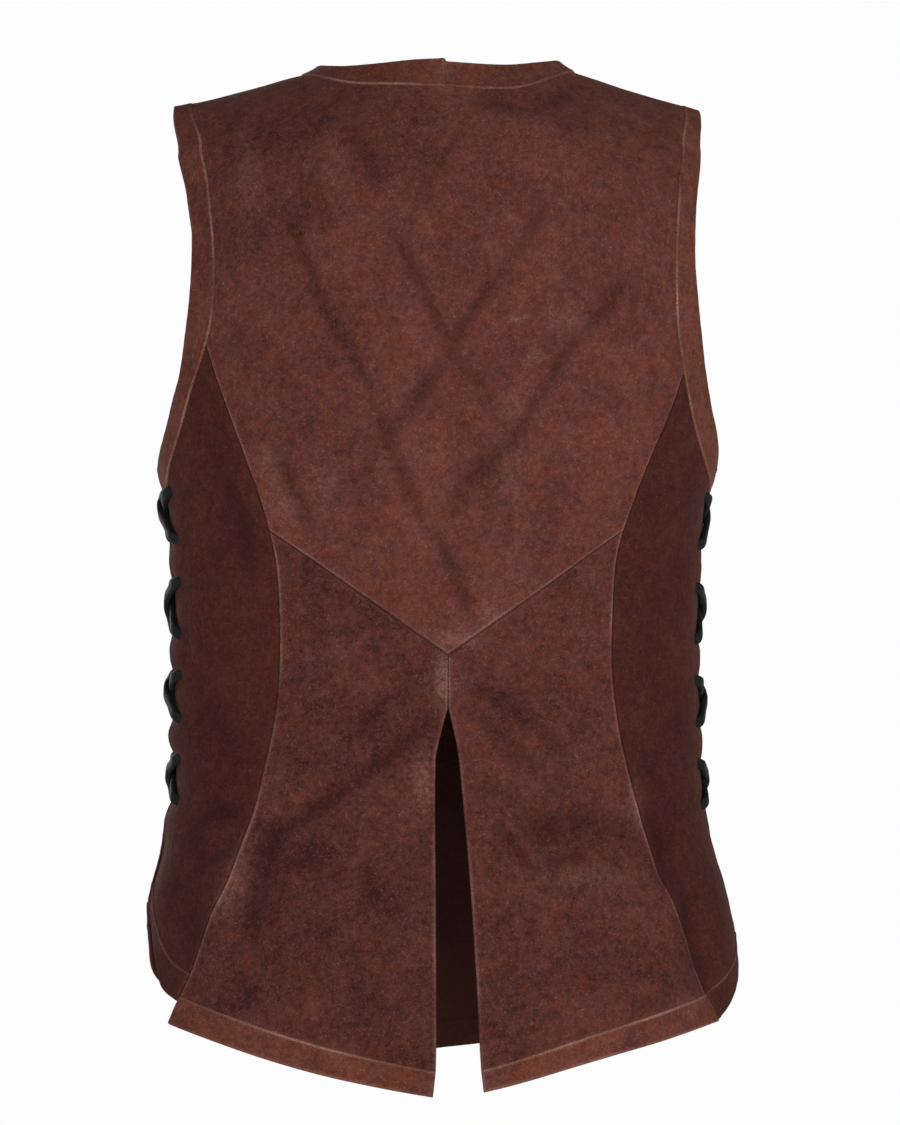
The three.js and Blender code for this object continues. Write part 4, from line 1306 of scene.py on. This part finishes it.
# %% One crossing
def crossing(side, start, end, bulge, over):
    """From one hole to the one across; over tells the run that lies on top."""
    middle = between(min(start["z"], end["z"]), max(start["z"], end["z"]), 0.55)

    def height(place, share):
        """From the upper hole the lace first runs level, and only then turns down."""
        slow = 0.72 if place["z"] > middle else 1.0
        return between(place["z"], middle, share * slow)

    def end_of(place):
        made = []
        for y, up, lift, looks in through_hole(place["run"]):
            z = place["z"] + up
            if y < HOLE_ASIDE - 1:
                z = height(place, (HOLE_ASIDE - y) / HOLE_ASIDE * 0.8)
            made.append(beside(side, place["face"], y, z, lift, looks))
        return made

    top = bulge if over else bulge - LACE_THICKNESS - 0.1

    def rise(place):
        """The lace stays on the suede up to its edge and then rises or sinks evenly."""
        low = beside(side, place["face"], 12, height(place, 0.6), between(LACE_OVER, top, 0.3))
        high = beside(side, place["face"], 5.5, height(place, 0.8), between(LACE_OVER, top, 0.75))
        return [low, high]

    over_side = beside(side, 1, SIDE_LINE, middle, top)
    return [*end_of(start), *rise(start), over_side, *rise(end)[::-1], *end_of(end)[::-1]]


print("runs over each side:", 2 * len(crossings_of("left")))

# %% [markdown]
# A lace starts and ends in a knot inside the lowest holes, so that it can't slip out.

# %% Knots and the whole path
def knot(side, face, lowest):
    """A small overhand knot on the inside, with the lace's short free end below it."""
    centre = beside(side, face, HOLE_ASIDE + 3, lowest - 13, -6.6, "in")
    turn = np.linspace(0.3, 5.6, 14)
    wide, deep = 1.7, 0.9
    loop = np.stack([
        wide * (np.sin(turn) + 1.2 * np.sin(2 * turn)),
        deep * np.sin(3 * turn),
        wide * (np.cos(turn) - 1.2 * np.cos(2 * turn)),
    ], -1)
    steps = [*loop, np.array([0, 0, -5.5]), np.array([0.6, 0, -12.0])]
    return [centre + np.append(step, np.zeros(3)) for step in steps]


def rounded(path):
    """Cutting each corner twice makes the bends round."""
    for _ in range(2):
        cut = np.stack([between(path[:-1], path[1:], 0.25), between(path[:-1], path[1:], 0.75)], 1)
        path = np.concatenate([path[:1], cut.reshape(-1, path.shape[1]), path[-1:]])
    return path


def lace_path(side):
    """Up one zigzag, across inside at the top and down the other, from knot to knot."""
    rows = crossings_of(side)
    last = len(rows) - 1

    def face_at(k):
        return 1 if (last - k) % 2 == 0 else -1

    path = knot(side, 1, rows[last]["lower"])[::-1]
    for k in range(last, -1, -1):
        start = dict(face=face_at(k), z=rows[k]["lower"], run=-1)
        end = dict(face=-face_at(k), z=rows[k]["upper"], run=1 if k else 0)
        path += crossing(side, start, end, rows[k]["bulge"], False)
    path.append(beside(side, 1, SIDE_LINE, rows[0]["upper"], -LACE_UNDER - 1, "in"))
    for k in range(last + 1):
        start = dict(face=face_at(k), z=rows[k]["upper"], run=1 if k else 0)
        end = dict(face=-face_at(k), z=rows[k]["lower"], run=-1)
        path += crossing(side, start, end, rows[k]["bulge"], True)
    return rounded(np.array(path + knot(side, -1, rows[last]["lower"])))


paths = {side: lace_path(side) for side in ("left", "right")}
lengths = {s: np.linalg.norm(np.diff(p[:, :3], axis=0), axis=1).sum() for s, p in paths.items()}
print("lace lengths in mm:", {s: round(v) for s, v in lengths.items()})

# %% [markdown]
# The lace follows a path, which is a job for Geometry Nodes: the path becomes a curve
# with even steps, and a flat section with round corners is swept along it. The direction
# stored with each place keeps the flat face against the suede.

# %% Lace node tree
def new_tree(name, sockets):
    """A node tree with one geometry in, one out, and the inputs that are listed."""
    tree = bpy.data.node_groups.new(name, "GeometryNodeTree")
    tree.interface.new_socket("Geometry", in_out="INPUT", socket_type="NodeSocketGeometry")
    tree.interface.new_socket("Geometry", in_out="OUTPUT", socket_type="NodeSocketGeometry")
    for label, kind, value in sockets:
        made = tree.interface.new_socket(label, in_out="INPUT", socket_type="NodeSocket" + kind)
        if value is not None:
            made.default_value = value
    return tree, tree.nodes.new("NodeGroupInput").outputs


def apply_tree(piece, tree, values):
    """Runs a tree on a piece and keeps the result as a plain mesh."""
    modifier = piece.modifiers.new(tree.name, "NODES")
    modifier.node_group = tree
    inputs = [item for item in tree.interface.items_tree if item.in_out == "INPUT"]
    sockets = {item.name: item.identifier for item in inputs}
    for label, value in values.items():
        modifier[sockets[label]] = value
    depsgraph = bpy.context.evaluated_depsgraph_get()
    result = bpy.data.meshes.new_from_object(piece.evaluated_get(depsgraph), depsgraph=depsgraph)
    piece.modifiers.remove(modifier)
    old, piece.data = piece.data, result
    result.name = piece.name
    bpy.data.meshes.remove(old)
    return piece


def finish_tree(tree, geometry, given):
    """Every tree ends alike: plain faces, the given material, the output."""
    whole = add(tree, "GeometryNodeRealizeInstances", {"Geometry": geometry}).outputs[0]
    inputs = {"Geometry": whole, "Material": given["Material"]}
    dressed = add(tree, "GeometryNodeSetMaterial", inputs).outputs[0]
    add(tree, "NodeGroupOutput", {"Geometry": dressed})


CORNER_SHARE = 0.42  # how round the lace's corners are, as a share of its thickness
lace_tree, given = new_tree(
    "swept lace",
    [
        ("Width", "Float", LACE_WIDTH * MM),
        ("Thickness", "Float", LACE_THICKNESS * MM),
        ("Step", "Float", LACE_STEP * MM),
        ("Material", "Material", None),
    ],
)
curve = add(lace_tree, "GeometryNodeMeshToCurve", {"Mesh": given["Geometry"]}).outputs[0]
curve = add(
    lace_tree, "GeometryNodeResampleCurve", {"Curve": curve, "Length": given["Step"]}, mode="LENGTH"
).outputs[0]
looks = add(
    lace_tree, "GeometryNodeInputNamedAttribute", {"Name": "looks"}, data_type="FLOAT_VECTOR"
).outputs[0]
curve = add(
    lace_tree, "GeometryNodeSetCurveNormal", {"Curve": curve, "Normal": looks}, mode="FREE"
).outputs[0]
ring = add(
    lace_tree, "GeometryNodeCurvePrimitiveQuadrilateral",
    {"Width": given["Thickness"], "Height": given["Width"]}, mode="RECTANGLE",
).outputs[0]
corner = add(
    lace_tree, "ShaderNodeMath", {0: given["Thickness"], 1: CORNER_SHARE}, operation="MULTIPLY"
).outputs[0]
ring = add(
    lace_tree, "GeometryNodeFilletCurve",
    {"Curve": ring, "Radius": corner, "Count": 3, "Limit Radius": True}, mode="POLY",
).outputs[0]
swept = add(
    lace_tree, "GeometryNodeCurveToMesh", {"Curve": curve, "Profile Curve": ring, "Fill Caps": True}
).outputs[0]
finish_tree(lace_tree, swept, given)
print("nodes in the lace tree:", len(lace_tree.nodes))

# %% [markdown]
# ## Black thong
# The lace is a strip cut from black leather. Its dye and years of handling leave it
# nearly matte, with a fine pebbled grain and patches of slightly greyer black.

# %% Lace material
PEBBLE_MM, WORN_MM = 1.1, 7


def thong(name, dark, worn):
    material = bpy.data.materials.new(name)
    tree = empty_tree(material)
    place = add(tree, "ShaderNodeTexCoord").outputs["Object"]
    inputs = {"Vector": place, "Scale": 1000 / PEBBLE_MM}
    pebble = add(tree, "ShaderNodeTexVoronoi", inputs).outputs["Distance"]
    inputs = {"Vector": place, "Scale": 1000 / WORN_MM, "Detail": 3.0}
    cloud = add(tree, "ShaderNodeTexNoise", inputs).outputs["Fac"]
    bump = add(tree, "ShaderNodeBump", {"Height": pebble, "Strength": 0.35, "Distance": 0.0003})
    shader = add(
        tree, "ShaderNodeBsdfPrincipled",
        {
            "Base Color": ramp(tree, cloud, (0.35, dark), (0.7, worn)), "Roughness": 0.75,
            "Specular IOR Level": 0.22, "Normal": bump.outputs[0],
        },
    )
    add(tree, "ShaderNodeOutputMaterial", {"Surface": shader.outputs[0]})
    return material


BLACK_THONG = thong("black_leather_thong", "#060809", "#111516")
for side, path in paths.items():
    mesh = bpy.data.meshes.new("lace_" + side)
    mesh.from_pydata((path[:, :3] * MM).tolist(), [(k, k + 1) for k in range(len(path) - 1)], [])
    paint(mesh, "looks", path[:, 3:])
    lace = add_object("side_lace_" + side, mesh)
    sizes = {"Width": LACE_WIDTH * MM, "Thickness": LACE_THICKNESS * MM, "Step": LACE_STEP * MM}
    apply_tree(lace, lace_tree, {**sizes, "Material": BLACK_THONG})
    lace.data.polygons.foreach_set("use_smooth", np.ones(len(lace.data.polygons), bool))
    pieces["lace_" + side] = lace
    print(lace.name, "faces:", len(lace.data.polygons))

# %% [markdown]
# ## Punched holes
# The laced edges are perforated, another repeat for Geometry Nodes: one drill stands on
# each hole's centre, turned to the suede's outward direction, and all of them are cut
# away at once. The centres come as a small mesh that holds only points.

# %% Hole tree
DRILL_SIDES, DRILL_LENGTH = 24, 12
punch_tree, given = new_tree(
    "punched holes",
    [
        ("Centres", "Object", None),
        ("Radius", "Float", HOLE_RADIUS * MM),
        ("Material", "Material", None),
    ],
)
centres = add(
    punch_tree, "GeometryNodeObjectInfo", {"Object": given["Centres"]}, transform_space="ORIGINAL"
).outputs["Geometry"]
drill = add(
    punch_tree, "GeometryNodeMeshCylinder",
    {"Vertices": DRILL_SIDES, "Radius": given["Radius"], "Depth": DRILL_LENGTH * MM},
).outputs[0]
out = add(
    punch_tree, "GeometryNodeInputNamedAttribute", {"Name": "out"}, data_type="FLOAT_VECTOR"
).outputs[0]
turned = add(punch_tree, "FunctionNodeAlignRotationToVector", {"Vector": out}, axis="Z").outputs[0]
drills = add(
    punch_tree, "GeometryNodeInstanceOnPoints",
    {"Points": centres, "Instance": drill, "Rotation": turned},
).outputs[0]
drills = add(punch_tree, "GeometryNodeRealizeInstances", {"Geometry": drills}).outputs[0]
punched = add(
    punch_tree, "GeometryNodeMeshBoolean",
    {"Mesh 1": given["Geometry"], "Mesh 2": drills}, operation="DIFFERENCE", solver="MANIFOLD",
).outputs[0]
finish_tree(punch_tree, punched, given)
print("nodes in the hole tree:", len(punch_tree.nodes))

# %% [markdown]
# The same tree punches all three laced panels, before they are dressed. A hole's edge is
# cut, not turned, so the suede's core shows in it.

# %% Punch the panels
PUNCHED = (  # node, which face it lies on, its laced sides, its suede
    ("side_back_left", 1, ["left"], DARK_SUEDE),
    ("side_back_right", 1, ["right"], DARK_SUEDE),
    ("front", -1, ["left", "right"], MAIN_SUEDE),
)
for node_name, face, sides, material in PUNCHED:
    places = np.array([
        beside(side, face, HOLE_ASIDE, z, 0.0)[:3]
        for side in sides for row in crossings_of(side) for z in (row["upper"], row["lower"])
    ])
    mesh = bpy.data.meshes.new("hole_centres")
    mesh.from_pydata((places * MM).tolist(), [], [])
    paint(mesh, "out", outwards(places))
    helper = add_object("hole_centres", mesh)
    panel = pieces[node_name]
    settings = {"Centres": helper, "Radius": HOLE_RADIUS * MM, "Material": material}
    apply_tree(panel, punch_tree, settings)
    panel.data.set_sharp_from_angle(angle=SHARP)
    bpy.data.objects.remove(helper)
    print(panel.name, "holes:", len(places), "faces:", len(panel.data.polygons))

# %% [markdown]
# Every piece gets its suede, rides on the garment's one body and stands for its solid.
# Each panel and band is a sheet of cloth, so the size it was cut to is stated with it.

# %% Finish the pieces
def outer_area(mesh):
    """Half of a closed thin shell's surface, in square metres."""
    areas = np.empty(len(mesh.polygons))
    mesh.polygons.foreach_get("area", areas)
    return areas.sum() / 2


whole_area = 0
for node_name, piece in pieces.items():
    if "lace" in node_name:
        slot_name, material = "lace", BLACK_THONG
    elif "side_back" in node_name or "band_side" in node_name:
        slot_name, material = "dark_suede", DARK_SUEDE
    elif "band" in node_name:
        slot_name, material = "binding", BAND_SUEDE
    else:
        slot_name, material = "suede", MAIN_SUEDE
    piece.data.materials.clear()
    piece.data.materials.append(material)
    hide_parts(node_name)
    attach(piece, "root")
    if "lace" not in node_name:
        area = outer_area(piece.data)
        width, length = piece["cut"]
        width = width * max(1.0, area / (width * length))  # no cut is smaller than its cloth
        whole_area += area
        print(f"{piece.name}: {width / MM:.0f} x {length / MM:.0f} mm, {area * 10000:.0f} cm2")
print("suede in all:", round(whole_area, 3), "m2")

# %% [markdown]
# ## Floor
# The garment is held up by its wearer, so it stands clear of the floor, a pale disc that
# fades out at its rim, which keeps the edge from showing.

# %% Floor
FLOOR = -0.95
SPOKES = 96
FLOOR_RINGS = np.array([1.0, 1.2, 1.4, 1.6, 1.8, 2.0])  # it fades out between first and last

turns = np.linspace(0, 2 * math.pi, SPOKES + 1)[:-1]
corners = [(r * math.cos(a), r * math.sin(a), FLOOR) for r in FLOOR_RINGS.tolist() for a in turns]
faces = [list(range(SPOKES))]
for ring in range(len(FLOOR_RINGS) - 1):
    for k in range(SPOKES):
        low, high = ring * SPOKES + k, ring * SPOKES + (k + 1) % SPOKES
        faces.append([low, low + SPOKES, high + SPOKES, high])
mesh = bpy.data.meshes.new("floor")
mesh.from_pydata(corners, [], faces)
paint(mesh, "fade", np.repeat(FLOOR_RINGS - 1, SPOKES))
floor = add_object("floor", mesh)
paper = bpy.data.materials.new("matte_white_paper")
tree = empty_tree(paper)
matte = add(tree, "ShaderNodeBsdfDiffuse", {"Color": linear("#fafaf9")}).outputs[0]
clear = add(tree, "ShaderNodeBsdfTransparent").outputs[0]
share = add(tree, "ShaderNodeAttribute", attribute_name="fade").outputs["Fac"]
mixed = add(tree, "ShaderNodeMixShader", {0: share, 1: matte, 2: clear}).outputs[0]
add(tree, "ShaderNodeOutputMaterial", {"Surface": mixed})
floor.data.materials.append(paper)
print("floor at", FLOOR, "m")

# %% [markdown]
# ## Light
# The studio has white walls and a dim ceiling. One large soft lamp beside the camera
# lights the suede, and its light falls off where the form turns away. A second one
# keeps the front from going dark.

# %% Light
world = bpy.data.worlds.new("white_walls")
tree = empty_tree(world)
looking = add(tree, "ShaderNodeTexCoord").outputs["Generated"]
height = add(tree, "ShaderNodeSeparateXYZ", {0: looking}).outputs["Z"]
walls = ramp(tree, height, (0.14, "#fdfdfd"), (0.5, "#7c7c7c"))  # white low down, dim above
sky = add(tree, "ShaderNodeBackground", {"Color": walls, "Strength": 1.0})
add(tree, "ShaderNodeOutputWorld", {"Surface": sky.outputs[0]})
bpy.context.scene.world = world
bpy.context.scene.view_settings.view_transform = "Standard"


def soft_lamp(name, place, aim, size, power):
    """A round lamp, in metres and watts, that looks at its aim."""
    data = bpy.data.lights.new(name, "AREA")
    data.shape = "DISK"
    data.size = size
    data.energy = power
    lamp = add_object(name, data)
    lamp.location = place
    lamp.rotation_euler = (Vector(aim) - Vector(place)).to_track_quat("-Z", "Y").to_euler()


soft_lamp("key", place=(-0.45, 2.95, -0.3), aim=(0, 0, -0.32), size=0.9, power=47)
soft_lamp("front_fill", place=(1.2, -2.6, 0.5), aim=(0, 0, -0.3), size=1.4, power=40)
print("lamps:", len(bpy.data.lights))
